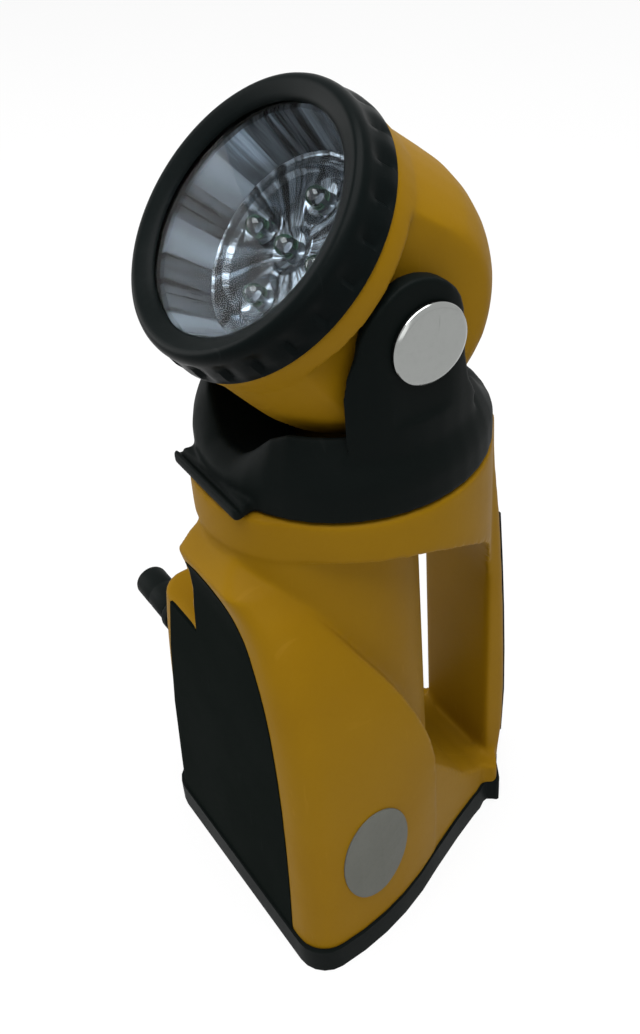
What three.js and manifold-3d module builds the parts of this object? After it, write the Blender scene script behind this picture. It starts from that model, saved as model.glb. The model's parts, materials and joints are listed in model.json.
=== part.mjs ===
// Hand crank flashlight: a standing body with a carrying handle, a swivelling yoke and a tilting head.
// Millimetres, +Z up. The origin is the middle of the flat bottom, on the yoke's swivel axis.
// The front faces -Y, the handle is at +Y and the crank is on the -X flank.
import * as THREE from 'three';
import { mergeVertices } from 'three/addons/utils/BufferGeometryUtils.js';
import Module from 'manifold-3d';

const wasm = await Module();
wasm.setup();

// Fits and shared values
const seatGap = 0.3;
const slideFit = 0.1;
const overrun = 1.5;
const fullTurn = Math.PI * 2;
const rightAngle = Math.PI / 2;
const roundSteps = 40;
const smallSteps = 16;
const blockLevels = 18;

// Base plate
const baseHeight = 9;
const baseFloor = 2.6;
const baseRim = 2.2;
const baseLip = 0.6;

// Front block of the body
const blockWidth = 88.2;
const blockFront = 48.1;
const blockTop = 135.5;
const blockCrease = 36;
const blockCorner = 9;
const frontLean = 0.03;
const shellWall = 2.6;
const frontWall = 4.6;
const lipReach = 3.4;

// Column, neck and handle
const columnFootRadius = 30.2;
const columnTopRadius = 28.6;
const columnFront = 12.45;
const neckRadius = 38.4;
const neckBottom = 137.7;
const neckTop = 150.2;
const neckStep = 0.8;
const neckLevel = 18;
const neckSag = 48;
const neckPlate = 2.8;
const handleWidth = 32;
const handleInner = 36.25;
const handleOuter = 44.65;
const handleRound = 2.6;
const handleTop = 148.7;
const footCrest = 59;
const footSaddle = 15.5;
const footStart = 7.15;
const footRise = 7;

// Step beside the front panel
const stepHeight = 98;
const stepSide = 11.2;

// Front panel, grip strip and blank oval plate
const panelThick = 2;
const panelWidth = 63;
const panelTop = 126.5;
const gripThick = 1.4;
const gripWidth = 27;
const gripBottom = 20;
const gripTop = 112;
const ovalTall = 32.8;
const ovalWide = 23.8;
const ovalThick = 0.4;
const ovalFront = 23.35;
const ovalHeight = 37.9;

// Base screws
const screwShank = 1.5;
const screwHead = 3;
const screwHeadTall = 2;
const screwLong = 17;
const bossRadius = 4.4;
const bossTall = 13;

// Yoke collar
const collarRadius = 38.3;
const collarBottom = 150.6;
const collarRim = 172;
const collarFloor = 156.5;
const collarShoulder = 14;
const collarLean = 5.4;
const collarBore = 14;
const spigotRadius = 19.6;
const spigotDrop = 9;
const spigotClear = 0.4;
const retainerRadius = 24;
const retainerTall = 2.4;
const armInner = 30.6;
const armOuter = 35.2;
const armTopRadius = 15.2;
const armTopLead = 3.5;
const armTopLift = 1;
const armTopReach = 17;
const tabWidth = 32;
const tabReach = 41.4;
const tabTall = 3.8;

// Tilt pivot
const pivotBack = 1.8;
const pivotRise = 21.25;
const headTilt = 45.65;
const pinRadius = 4;
const capRadius = 10;
const capThick = 1.8;

// Head, measured along its own axis from the pivot
const domeRadius = 36.2;
const domeSideGap = 3.1;
const domeSideRound = 5;
const bandRadius = 35.4;
const bandFront = 25.1;
const bandRear = 18;
const bandStep = 0.8;
const bandWall = 1;
const headWall = 2.4;
const spigotFront = 30.4;
const headSpigotRadius = 33.4;
const bezelFront = 36.2;
const bezelRadius = 35.8;
const bezelCrest = 33.4;
const bezelOpening = 28.2;
const bezelRibs = 24;
const bezelRibDeep = 0.7;
const lensRadius = 31;
const lensThick = 1.8;
const gasketThick = 0.9;
const gasketInner = 29.2;
const reflectorMouth = 28.3;
const reflectorFloor = 19.9;
const reflectorFacets = 20;
const reflectorWall = 1.2;
const cupDeep = 4.5;
const cupRadius = 5.6;
const ledRing = 13;
const ledRadius = 2.5;
const ledTall = 7.6;
const ledBoardThick = 1.6;
const ledBoardRadius = 21;

// Crank
const crankFront = 19.15;
const crankHeight = 42.1;
const crankReach = 32.1;
const crankAngle = 119;
const shaftRadius = 2.5;
const armThick = 3.8;
const armEndRadius = 6;
const armHubRadius = 8;
const armClear = 1;
const knobRadius = 5.2;
const knobLong = 18.2;
const knobPinRadius = 2;
const bushRadius = 4.6;
const bushFlangeRadius = 6.6;
const bushFlange = 1.2;

// Gears and generator
const gearModule = 0.8;
const crankTeeth = 40;
const idlerPinionTeeth = 10;
const idlerTeeth = 36;
const rotorTeeth = 10;
const gearThick = 3.4;
const pinionExtra = 1;
const gearSpace = 2;
const plateThick = 2;
const leftPlateInset = 17.3;
const axleRadius = 1.5;
const postRadius = 2.5;
const statorRadius = 14;
const statorLong = 20;
const statorWall = 1.6;
const rotorRadius = 11.4;

// Cells, circuit board and switch
const cellRadius = 7.1;
const cellLong = 50;
const cellNub = 2.4;
const cellPitch = 14.6;
const cellInset = 28.3;
const boardThick = 1.6;
const boardInset = 13.3;
const boardLong = 28;
const boardTall = 50;
const buttonWide = 12;
const buttonTall = 10;
const buttonDrop = 9.4;
const buttonProud = 2.4;
const buttonTravel = 1.5;
const switchDeep = 5;

// Materials, with colours read from the photograph
const look = (color, roughness, metalness) => new THREE.MeshStandardMaterial({ color, roughness, metalness });
const yellow = look(0xe0a62c, 0.5, 0);
const black = look(0x17191a, 0.55, 0);
const rubber = look(0x0e0f10, 0.85, 0);
const chrome = look(0xc9cccb, 0.2, 1);
const mirror = look(0xdfe3e8, 0.08, 1);
const clear = look(0xd8e4ea, 0.05, 0);
const steel = look(0x9a9ca0, 0.35, 1);
const brass = look(0xb08d4a, 0.35, 1);
const white = look(0xe6e4da, 0.5, 0);
const grey = look(0xb9bab4, 0.45, 0);
const green = look(0x24553a, 0.6, 0);
const blue = look(0x2f5f9a, 0.45, 0);
const ledWhite = look(0xf4f2e6, 0.2, 0);
const magnetGrey = look(0x3b3d40, 0.5, 0.4);

// Solid helpers
function solidOf(geometry) {
  const bare = geometry.clone();
  bare.deleteAttribute('normal');
  bare.deleteAttribute('uv');
  const merged = mergeVertices(bare);
  const vertProperties = new Float32Array(merged.attributes.position.array);
  const triVerts = new Uint32Array(merged.index.array);
  return new wasm.Manifold(new wasm.Mesh({ numProp: 3, vertProperties, triVerts }));
}

function geometryOf(solid) {
  const mesh = solid.getMesh();
  const geometry = new THREE.BufferGeometry();
  const places = new Float32Array(mesh.vertProperties);
  geometry.setAttribute('position', new THREE.BufferAttribute(places, mesh.numProp));
  geometry.setIndex(new THREE.BufferAttribute(new Uint32Array(mesh.triVerts), 1));
  const flat = geometry.toNonIndexed();
  flat.computeVertexNormals();
  return flat;
}

const join = (first, ...rest) => rest.reduce((sum, next) => sum.add(next), first);
const cut = (first, ...rest) => rest.reduce((left, next) => left.subtract(next), first);
const common = (first, ...rest) => rest.reduce((left, next) => left.intersect(next), first);

const frameX = new THREE.Matrix4().makeBasis(
  new THREE.Vector3(0, 1, 0), new THREE.Vector3(0, 0, 1), new THREE.Vector3(1, 0, 0));
const frameY = new THREE.Matrix4().makeBasis(
  new THREE.Vector3(1, 0, 0), new THREE.Vector3(0, 0, 1), new THREE.Vector3(0, -1, 0));

function outlineShape(points) {
  return new THREE.Shape(points.map(([a, b]) => new THREE.Vector2(a, b)));
}

// A prism of an outline, with optional rounded ends of the given size
function prism(shape, depth, round = 0, steps = 3) {
  const options = { depth: depth - 2 * round, steps: 1, curveSegments: 12, bevelEnabled: round > 0 };
  if (round > 0) {
    Object.assign(options, {
      bevelThickness: round, bevelSize: round, bevelOffset: -round, bevelSegments: steps,
    });
  }
  return new THREE.ExtrudeGeometry(shape, options).translate(0, 0, round);
}

// Prisms along X between two places, from an outline of [y, z] points
function alongX(points, from, to, round = 0) {
  const geometry = prism(outlineShape(points), to - from, round).applyMatrix4(frameX);
  return solidOf(geometry.translate(from, 0, 0));
}

// Prisms along Y between two places, from an outline of [x, z] points
function alongY(points, from, to) {
  const geometry = prism(outlineShape(points), to - from).applyMatrix4(frameY);
  return solidOf(geometry.translate(0, to, 0));
}

// Prisms along Z between two heights, from an outline of [x, y] points
function alongZ(points, from, to, round = 0) {
  return solidOf(prism(outlineShape(points), to - from, round).translate(0, 0, from));
}

function box(low, high) {
  const size = high.map((value, axis) => value - low[axis]);
  const middle = high.map((value, axis) => (value + low[axis]) / 2);
  return solidOf(new THREE.BoxGeometry(...size).translate(...middle));
}

// Turned solids about Z, from a closed profile of [radius, height] points
function turned(profile, steps = roundSteps) {
  const points = profile.map(([radius, height]) => new THREE.Vector2(radius, height));
  if (profile[0][0] > 0) points.push(points[0].clone());
  return solidOf(new THREE.LatheGeometry(points, steps).rotateX(rightAngle));
}

function diskZ(radius, from, to, steps = roundSteps) {
  return turned([[0, from], [radius, from], [radius, to], [0, to]], steps);
}

function diskX(radius, from, to, y, z, steps = smallSteps) {
  const geometry = new THREE.CylinderGeometry(radius, radius, to - from, steps).rotateZ(-rightAngle);
  return solidOf(geometry.translate((from + to) / 2, y, z));
}

function ringX(outer, inner, from, to, y, z, steps = smallSteps) {
  return cut(diskX(outer, from, to, y, z, steps), diskX(inner, from - overrun, to + overrun, y, z, steps));
}

// A solid through sections of equal point counts, given from the bottom up and anticlockwise from above
function loft(sections) {
  const count = sections[0].length;
  const positions = sections.flatMap((section) => section.flatMap((point) => [point.x, point.y, point.z]));
  const index = [];
  for (let level = 0; level < sections.length - 1; level++) {
    for (let i = 0; i < count; i++) {
      const a = level * count + i;
      const b = level * count + (i + 1) % count;
      index.push(a, b, b + count, a, b + count, a + count);
    }
  }
  const top = (sections.length - 1) * count;
  const flat = (section) => section.map((point) => new THREE.Vector2(point.x, point.y));
  for (const [a, b, c] of THREE.ShapeUtils.triangulateShape(flat(sections[0]), [])) index.push(a, c, b);
  for (const [a, b, c] of THREE.ShapeUtils.triangulateShape(flat(sections.at(-1)), [])) {
    index.push(top + a, top + b, top + c);
  }
  const geometry = new THREE.BufferGeometry();
  geometry.setAttribute('position', new THREE.Float32BufferAttribute(positions, 3));
  geometry.setIndex(index);
  return solidOf(geometry);
}

// Smooth values between the rows of a table whose first column rises
function between(rows, place) {
  const last = rows.length - 1;
  let low = 0;
  while (low < last - 1 && place > rows[low + 1][0]) low++;
  const slope = (row, column) => {
    const before = rows[Math.max(row - 1, 0)];
    const after = rows[Math.min(row + 1, last)];
    return (after[column] - before[column]) / (after[0] - before[0]);
  };
  const span = rows[low + 1][0] - rows[low][0];
  const t = Math.min(Math.max((place - rows[low][0]) / span, 0), 1);
  return rows[low].map((value, column) => {
    const next = rows[low + 1][column];
    const rise = t * t * (3 - 2 * t);
    const lead = t * (1 - t) * (1 - t) * slope(low, column) * span;
    const tail = t * t * (t - 1) * slope(low + 1, column) * span;
    return value + (next - value) * rise + lead + tail;
  });
}

const capsule = (a, b, endA, endB, steps) => {
  const points = [];
  const angle = Math.atan2(b[1] - a[1], b[0] - a[0]);
  for (let i = 0; i <= steps; i++) {
    const turnA = angle + rightAngle + Math.PI * i / steps;
    points.push([a[0] + endA * Math.cos(turnA), a[1] + endA * Math.sin(turnA)]);
  }
  for (let i = 0; i <= steps; i++) {
    const turnB = angle - rightAngle + Math.PI * i / steps;
    points.push([b[0] + endB * Math.cos(turnB), b[1] + endB * Math.sin(turnB)]);
  }
  return points;
};

// An outline moved outward (or inward, if negative) by the given amount
function grown(points, amount) {
  const count = points.length;
  return points.map(([x, y], i) => {
    const [px, py] = points[(i + count - 1) % count];
    const [nx, ny] = points[(i + 1) % count];
    const before = new THREE.Vector2(x - px, y - py).normalize();
    const after = new THREE.Vector2(nx - x, ny - y).normalize();
    const normal = new THREE.Vector2(before.y + after.y, -before.x - after.x).normalize();
    const reach = amount / Math.max(normal.x * after.y - normal.y * after.x, 0.5);
    return [x + normal.x * reach, y + normal.y * reach];
  });
}

// The body's front block: height, half width, half width at the crease, crease place and front bulge,
// all as shares
const blockShares = [
  [0, 1, 0.905, -0.063, 0],
  [0.22, 0.975, 0.94, -0.068, 0],
  [0.44, 0.93, 1.01, -0.028, 0],
  [0.57, 0.895, 1.025, 0.083, 0],
  [0.67, 0.845, 0.995, 0.205, 0],
  [0.79, 0.755, 0.885, 0.402, 0],
  [0.88, 0.625, 0.745, 0.558, 0],
  [0.945, 0.455, 0.54, 0.7, 0.75],
  [0.975, 0.32, 0.375, 0.76, 0.55],
  [1, 0.17, 0.19, 0.781, -1.6],
];

const cornerWideShare = 0.6;
const cornerDeepShare = 0.5;
const cornerSteps = 5;
const flankSteps = 5;

// One level of the block, drawn in by the given side and front walls
function blockSection(height, side, front) {
  const [, widthShare, creaseShare, rearShare, bulgeShare] = between(blockShares, height / blockTop);
  const half = widthShare * blockWidth / 2 - side;
  const creaseX = creaseShare * blockCrease - side;
  const creaseY = -rearShare * blockFront - side;
  const frontY = -blockFront + frontLean * height - bulgeShare * lipReach + front;
  const corner = Math.min(blockCorner, half * cornerWideShare, (creaseY - frontY) * cornerDeepShare);
  const points = [];
  for (let i = 0; i <= cornerSteps; i++) {
    const angle = rightAngle * i / cornerSteps;
    points.push([half - corner + corner * Math.sin(angle), frontY + corner - corner * Math.cos(angle)]);
  }
  const start = frontY + corner;
  const middle = (start + creaseY) / 2;
  for (let i = 1; i <= flankSteps; i++) {
    const t = i / flankSteps;
    const x = (1 - t) * (1 - t) * half + 2 * t * (1 - t) * half + t * t * creaseX;
    const y = (1 - t) * (1 - t) * start + 2 * t * (1 - t) * middle + t * t * creaseY;
    points.push([x, y]);
  }
  const mirrored = points.map(([x, y]) => [-x, y]).reverse();
  return [...points, ...mirrored].map(([x, y]) => new THREE.Vector3(x, y, height));
}

const innerShare = 0.89;
const panelBlockShare = 0.945;

// The block from the base plate up to a share of its height, carried down by a drop below it
function block(side, front, drop = 0, share = 1) {
  const sections = [];
  for (let i = 0; i <= Math.round(blockLevels * share); i++) {
    sections.push(blockSection(baseHeight + (blockTop - baseHeight) * i / blockLevels, side, front));
  }
  if (drop > 0) {
    sections.unshift(sections[0].map((point) => new THREE.Vector3(point.x, point.y, point.z - drop)));
  }
  return loft(sections);
}

// The outline of the whole foot seen from above: it narrows behind the block and flares again at the handle
const footShares = [
  [0.307, 0.834], [0.561, 0.71], [0.647, 0.675], [0.711, 0.628], [0.748, 0.622], [0.786, 0.655],
  [0.811, 0.685], [0.832, 0.688], [0.857, 0.655], [0.898, 0.575], [0.938, 0.49], [0.98, 0.41],
];

function footprint(inset) {
  const front = blockSection(0, inset, inset);
  const right = front.slice(0, front.length / 2).map((point) => [point.x, point.y]);
  const [creaseX, creaseY] = right.at(-1);
  const rear = handlePlace(baseHeight) - inset;
  for (const [placeShare, widthShare] of footShares) {
    right.push([(creaseX + inset) * widthShare - inset, creaseY + (rear - creaseY) * placeShare]);
  }
  right.push([handleWidth / 2 - handleRound - inset / 2, rear]);
  const left = right.map(([x, y]) => [-x, y]).reverse();
  return [...right, ...left];
}

// The rear foot's top seen from the side, from inside the block to the handle
const saddleShares = [[0, 1], [0.1, 0.975], [0.24, 0.78], [0.45, 0.49], [0.65, 0.21], [0.85, 0.055], [1, 0]];

function saddleOutline(drop, bottom) {
  const start = -footStart;
  const points = saddleShares.map(([placeShare, riseShare]) => [
    start + (handleInner - start) * placeShare,
    footSaddle + (footCrest - footSaddle) * riseShare - drop,
  ]);
  const end = handleOuter + overrun;
  return [[start, bottom], [end, bottom], [end, footSaddle + footRise - drop], ...points.reverse()];
}

// Handle seen from the side: height and outer place as shares
const handleShares = [
  [0, 0.95], [0.115, 0.995], [0.25, 0.999], [0.42, 0.984], [0.56, 0.962], [0.75, 0.922], [0.9, 0.866],
  [1, 0.845],
];

function handlePlace(height) {
  return handleOuter * between(handleShares, (height - baseHeight) / (handleTop - baseHeight))[1];
}

const handleRoundShare = 0.8;
const handleSteps = 5;

// The handle bar, its outer corners rounded at every level
function handleBar() {
  const sections = handleShares.map(([heightShare]) => {
    const height = baseHeight + (handleTop - baseHeight) * heightShare;
    const outer = handlePlace(height);
    const round = Math.min(handleRound, (outer - handleInner) * handleRoundShare);
    const points = [[handleWidth / 2, handleInner]];
    for (let i = 0; i <= handleSteps; i++) {
      const angle = rightAngle * i / handleSteps;
      points.push([
        handleWidth / 2 - round + round * Math.cos(angle),
        outer - round + round * Math.sin(angle),
      ]);
    }
    const mirrored = points.map(([x, y]) => [-x, y]).reverse();
    return [...points, ...mirrored].map(([x, y]) => new THREE.Vector3(x, y, height));
  });
  return loft(sections);
}

// Neck band seen from the side: level in front, then a quarter of an ellipse down to the handle
function neckOutline(inset) {
  const rear = handleOuter + overrun;
  const points = [[-rear, neckBottom + inset]];
  for (let i = 0; i <= smallSteps; i++) {
    const angle = rightAngle * i / smallSteps;
    points.push([
      (handleInner + neckLevel + inset) * Math.sin(angle) - neckLevel,
      neckBottom - neckSag + (neckSag + inset) * Math.cos(angle),
    ]);
  }
  return [...points, [rear, neckBottom - neckSag], [rear, neckTop + overrun], [-rear, neckTop + overrun]];
}

// Neck from above: a circle, with straight lines from where they touch it to the handle's inner corners
function neckPlan() {
  const corner = new THREE.Vector2(handleWidth / 2 - slideFit, handleInner + seatGap);
  const touch = corner.angle() - Math.acos(neckRadius / corner.length());
  const start = Math.PI - touch;
  const points = [];
  for (let i = 0; i <= roundSteps; i++) {
    const angle = start + (Math.PI + 2 * touch) * i / roundSteps;
    points.push([neckRadius * Math.cos(angle), neckRadius * Math.sin(angle)]);
  }
  return [...points, [corner.x, corner.y], [-corner.x, corner.y]];
}

// Front panel outline: shares of its half width and of its height over the base, curved on the right
const panelShares = [
  [-1.17, 0], [-1.16, 0.1], [-1.12, 0.34], [-0.985, 0.56], [-0.83, 0.75], [-0.33, 0.75], [-0.26, 0.985],
];
const panelCurveShares = [
  [-0.05, 1], [0.2, 0.995], [0.43, 0.955], [0.62, 0.885], [0.78, 0.79], [0.9, 0.65], [0.975, 0.45],
  [1, 0.2], [0.985, 0],
];

function panelOutline(drop) {
  const tall = panelTop - panelFloor;
  const curve = new THREE.SplineCurve(panelCurveShares.map((share) => new THREE.Vector2(...share)));
  const right = curve.getPoints(roundSteps / 2).map((share) => share.toArray());
  return [...panelShares, ...right].map(([sideShare, heightShare]) => [
    sideShare * panelWidth / 2,
    panelFloor + tall * heightShare - (heightShare > 0 ? 0 : drop),
  ]).reverse();
}

// Places of the four base screws
const screwPlaces = [
  [blockWidth / 2 - blockCorner + shellWall, -blockFront + blockCorner - shellWall],
  [-blockWidth / 2 + blockCorner - shellWall, -blockFront + blockCorner - shellWall],
  [handleWidth / 2 - shellWall, handleInner - bossRadius],
  [-handleWidth / 2 + shellWall, handleInner - bossRadius],
];

const panelFloor = baseHeight + seatGap;
const stepBox = (grow) => box(
  [-blockWidth, -blockFront - lipReach - overrun - grow, stepHeight - grow],
  [-stepSide + grow, 0, blockTop + overrun + grow],
);

// Gearbox places along X, worked inward from the left plate
const leftPlate = blockWidth / 2 - leftPlateInset;
const crankGearFrom = -leftPlate + seatGap + armClear;
const crankGearTo = crankGearFrom + gearThick;
const idlerGearFrom = crankGearTo + gearSpace;
const idlerGearTo = idlerGearFrom + gearThick;
const rightPlateFrom = idlerGearTo + gearSpace;
const rightPlateTo = rightPlateFrom + plateThick;
const pitch = (teeth) => gearModule * teeth / 2;
const idlerHeight = crankHeight + pitch(crankTeeth) + pitch(idlerPinionTeeth);
const rotorHeight = idlerHeight + pitch(idlerTeeth) + pitch(rotorTeeth);
const plateBackTeeth = 32;
const plateBack = -crankFront + pitch(plateBackTeeth);
const padFace = -blockWidth / 2 + bushFlange;
const armFace = -blockWidth / 2 - baseLip - armClear;
const pivotHeight = collarRim + pivotRise;
const domeSide = armInner - domeSideGap;
const buttonHeight = neckTop - neckPlate - buttonDrop;
const cellSide = blockWidth / 2 - cellInset;
const boardSide = blockWidth / 2 - boardInset;
const buttonSeat = neckRadius - shellWall - armClear;

// The window behind the panel, as a share of the panel's width
const windowShare = 0.33;

// Body shell: block, column, foot, neck and handle in one, open below, with its window and bores
function bodyShell() {
  const column = (inset, from, to) => {
    const taper = (columnFootRadius - columnTopRadius) / neckBottom;
    const low = columnFootRadius - inset - taper * from;
    const high = columnFootRadius - inset - taper * to;
    return solidOf(new THREE.CylinderGeometry(high, low, to - from, roundSteps)
      .rotateX(rightAngle).translate(0, -columnFront, (from + to) / 2));
  };
  const foot = (inset, from) => common(
    alongZ(footprint(inset), from, footCrest),
    alongX(saddleOutline(inset, from), -blockWidth, blockWidth),
  );
  const arch = (inset) => alongX(neckOutline(inset), -blockWidth, blockWidth);
  const outer = join(
    cut(block(0, 0), stepBox(0)),
    column(0, baseHeight, neckBottom + neckStep),
    foot(0, baseHeight),
    common(
      join(alongZ(neckPlan(), neckBottom - neckSag, neckTop), column(-neckStep, baseHeight, neckTop)),
      arch(0),
    ),
    handleBar(),
  );
  const inner = join(
    cut(block(shellWall, frontWall, overrun, innerShare), stepBox(shellWall)),
    column(shellWall, baseHeight - overrun, neckTop - neckPlate - overrun),
    foot(shellWall, baseHeight - overrun),
    common(diskZ(neckRadius - shellWall, neckBottom - neckSag, neckTop - neckPlate), arch(shellWall)),
  );
  const bosses = screwPlaces.map(([x, y]) => common(
    outer, solidOf(new THREE.CylinderGeometry(bossRadius, bossRadius, bossTall, smallSteps)
      .rotateX(rightAngle).translate(x, y, baseHeight + bossTall / 2)),
  ));
  const pad = join(
    diskX(bushRadius + shellWall, padFace, padFace + blockCorner, -crankFront, crankHeight),
    diskX(bushFlangeRadius, padFace, padFace + shellWall, -crankFront, crankHeight),
  );
  const recess = cut(
    alongY(grown(panelOutline(overrun), seatGap), -blockFront - overrun * 2, -blockFront / 2),
    block(panelThick + seatGap, panelThick + seatGap, overrun, panelBlockShare),
  );
  const windowHalf = panelWidth * windowShare;
  const window = box(
    [-windowHalf, -blockFront - overrun, baseHeight + bossTall],
    [windowHalf, -blockFront + blockCorner, stepHeight - blockCorner / 2],
  );
  const buttonHole = box(
    [-buttonWide / 2 - slideFit, buttonSeat - overrun, buttonHeight - buttonTall / 2 - slideFit],
    [buttonWide / 2 + slideFit, handleOuter + overrun, buttonHeight + buttonTall / 2 + slideFit],
  );
  const screwHoles = screwPlaces.map(([x, y]) => solidOf(
    new THREE.CylinderGeometry(screwShank + slideFit, screwShank + slideFit, bossTall + overrun, smallSteps)
      .rotateX(rightAngle).translate(x, y, baseHeight + (bossTall - overrun) / 2 - shellWall / 2),
  ));
  return cut(
    join(cut(outer, inner), ...bosses, pad),
    recess,
    window,
    buttonHole,
    ...screwHoles,
    gripSolid(seatGap),
    diskX(
      bushRadius + slideFit, padFace - overrun, padFace + blockCorner + overrun, -crankFront, crankHeight,
    ),
    diskZ(spigotRadius + spigotClear, neckTop - neckPlate - overrun, neckTop + overrun),
  );
}

// Grip strip let into the handle's back
function gripSolid(grow) {
  const half = (gripWidth + grow) / 2;
  const low = gripBottom - grow / 2;
  const high = gripTop + grow / 2;
  const back = [];
  for (let i = 0; i <= handleSteps; i++) {
    const height = low + (high - low) * i / handleSteps;
    back.push([handlePlace(height), height]);
  }
  const outerSide = back.map(([y, z]) => [y + gripThick / 2, z]);
  const innerSide = back.map(([y, z]) => [y - gripThick / 2 - grow, z]).reverse();
  return alongX([...outerSide, ...innerSide], -half, half);
}

function frontPanel() {
  const outline = panelOutline(0);
  return common(
    alongY(outline, -blockFront - overrun, -blockFront / 2),
    cut(
      block(0, 0),
      block(panelThick, panelThick, overrun, panelBlockShare),
    ),
    box([-blockWidth, -blockFront - overrun, 0], [blockWidth, -blockFront + blockCorner, blockTop]),
  );
}

// A blank oval plate that follows the right flank
function ovalPlate() {
  const points = [];
  for (let i = 0; i < roundSteps; i++) {
    const angle = fullTurn * i / roundSteps;
    points.push([-ovalFront + ovalWide / 2 * Math.cos(angle), ovalHeight + ovalTall / 2 * Math.sin(angle)]);
  }
  const proud = slideFit / 2;
  return cut(
    common(alongX(points, 0, blockWidth), block(-ovalThick - proud, 0)),
    block(-proud, 0, overrun),
  );
}

function basePlate() {
  const tray = cut(
    alongZ(footprint(-baseLip), 0, baseHeight),
    alongZ(footprint(baseRim - baseLip), baseFloor, baseHeight + overrun),
  );
  const posts = screwPlaces.map(([x, y]) => common(
    alongZ(footprint(-baseLip), 0, baseHeight - seatGap),
    solidOf(new THREE.CylinderGeometry(bossRadius, bossRadius, baseHeight - seatGap, smallSteps)
      .rotateX(rightAngle).translate(x, y, (baseHeight - seatGap) / 2)),
  ));
  const shankHole = screwShank + slideFit;
  const headHole = screwHead + seatGap;
  const headDeep = screwHeadTall + seatGap;
  const holes = screwPlaces.flatMap(([x, y]) => [
    solidOf(new THREE.CylinderGeometry(shankHole, shankHole, baseHeight * 2, smallSteps)
      .rotateX(rightAngle).translate(x, y, baseHeight)),
    solidOf(new THREE.CylinderGeometry(headHole, headHole, headDeep, smallSteps)
      .rotateX(rightAngle).translate(x, y, headDeep / 2)),
  ]);
  return cut(join(tray, ...posts), ...holes);
}

function screw() {
  const under = screwHeadTall + seatGap / 2;
  const start = seatGap / 2;
  return turned([
    [0, start], [screwHead, start], [screwHead, under], [screwShank, under],
    [screwShank, under + screwLong], [0, under + screwLong],
  ], smallSteps);
}

// Yoke collar: ring, dished seat, two arms, thumb tab and the hollow spigot that it turns on
const rimLowShare = 0.26;
const frontDip = [0.1, 0.62];
const rearDip = [0.3, 0.95];

// How much of the ring's height stands at an angle: it dips in front and behind, between the arms
function rimShare(angle) {
  const dips = [[angle + rightAngle, frontDip], [angle - rightAngle, rearDip]];
  const shares = dips.map(([turn, [low, full]]) => {
    const off = Math.abs(Math.atan2(Math.sin(turn), Math.cos(turn)));
    const t = Math.min(Math.max((off - low) / (full - low), 0), 1);
    return rimLowShare + (1 - rimLowShare) * t * t * (3 - 2 * t);
  });
  return Math.min(...shares);
}

// The dished inside of the ring: shares of its radius and of its height down from the rim
const dishShares = [[0.83, 0.03], [0.76, 0.45], [0.62, 0.78]];
const shoulderPower = 1.5;

function collarRing() {
  const rise = collarRim - collarFloor;
  const profile = [
    [collarBore, collarBottom - spigotDrop], [spigotRadius, collarBottom - spigotDrop],
    [spigotRadius, collarBottom], [collarRadius, collarBottom],
  ];
  const shoulderSteps = 6;
  for (let i = 0; i <= shoulderSteps; i++) {
    const share = i / shoulderSteps;
    profile.push([
      collarRadius - collarLean * share ** shoulderPower, collarRim - collarShoulder * (1 - share),
    ]);
  }
  for (const [radiusShare, dropShare] of dishShares) {
    profile.push([collarRadius * radiusShare, collarRim - rise * dropShare]);
  }
  profile.push([collarBore, collarFloor]);
  const points = profile.map(([radius, height]) => new THREE.Vector2(radius, height));
  points.push(points[0].clone());
  const geometry = new THREE.LatheGeometry(points, roundSteps).rotateX(rightAngle);
  const place = geometry.attributes.position;
  for (let i = 0; i < place.count; i++) {
    const z = place.getZ(i);
    const angle = Math.atan2(place.getY(i), place.getX(i));
    if (z > collarFloor) place.setZ(i, collarFloor + (z - collarFloor) * rimShare(angle));
  }
  return solidOf(geometry);
}

// One arm seen from the side, below its round top: shares of the top radius out from its centre
const armFrontShares = [
  [-1.03, -0.3], [-1.12, -0.7], [-1.26, -1.1], [-1.5, -1.5], [-1.75, -1.9], [-1.95, -2.3],
];
const armBackShares = [[2.05, -2.3], [1.7, -1.9], [1.35, -1.5], [1.12, -1.1], [1.02, -0.6]];
const armFlareShare = 1.03;
const armRootShare = 0.4;

function yokeArm(side) {
  const at = ([a, b]) => [
    pivotBack - armTopLead + a * armTopRadius, pivotHeight + armTopLift + b * armTopRadius,
  ];
  const top = [];
  const arcSteps = 14;
  for (let i = 0; i <= arcSteps; i++) {
    const angle = Math.PI * i / arcSteps;
    const [y, z] = at([Math.cos(angle), Math.sin(angle)]);
    const reach = Math.hypot(y - pivotBack, z - pivotHeight);
    const keep = Math.min(armTopReach / reach, 1);
    top.push([pivotBack + (y - pivotBack) * keep, pivotHeight + (z - pivotHeight) * keep]);
  }
  const outline = [...armBackShares.map(at), ...top, ...armFrontShares.map(at)];
  const from = side > 0 ? armInner : -collarRadius;
  const to = side > 0 ? collarRadius : -armInner;
  const flatFrom = collarRim + collarLean * armRootShare;
  const high = pivotHeight + armTopRadius * 2;
  const envelope = turned([
    [0, collarFloor], [collarRadius, collarFloor], [collarRadius, collarRim - collarShoulder],
    [collarRadius - collarLean * armRootShare, collarRim - collarShoulder * armRootShare],
    [armOuter * armFlareShare, flatFrom], [armOuter * armFlareShare, high], [0, high],
  ]);
  const trim = box(
    [side > 0 ? armOuter : -blockWidth, -blockFront, flatFrom],
    [side > 0 ? blockWidth : -armOuter, blockFront, high * 2],
  );
  return cut(common(alongX(outline, from, to), envelope), trim);
}

// Thumb tab in front of the collar: its groove as shares of the tab's height
const grooveBackShare = 0.08;
const grooveWideShare = 0.35;
const grooveFloorShare = 0.6;

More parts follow.
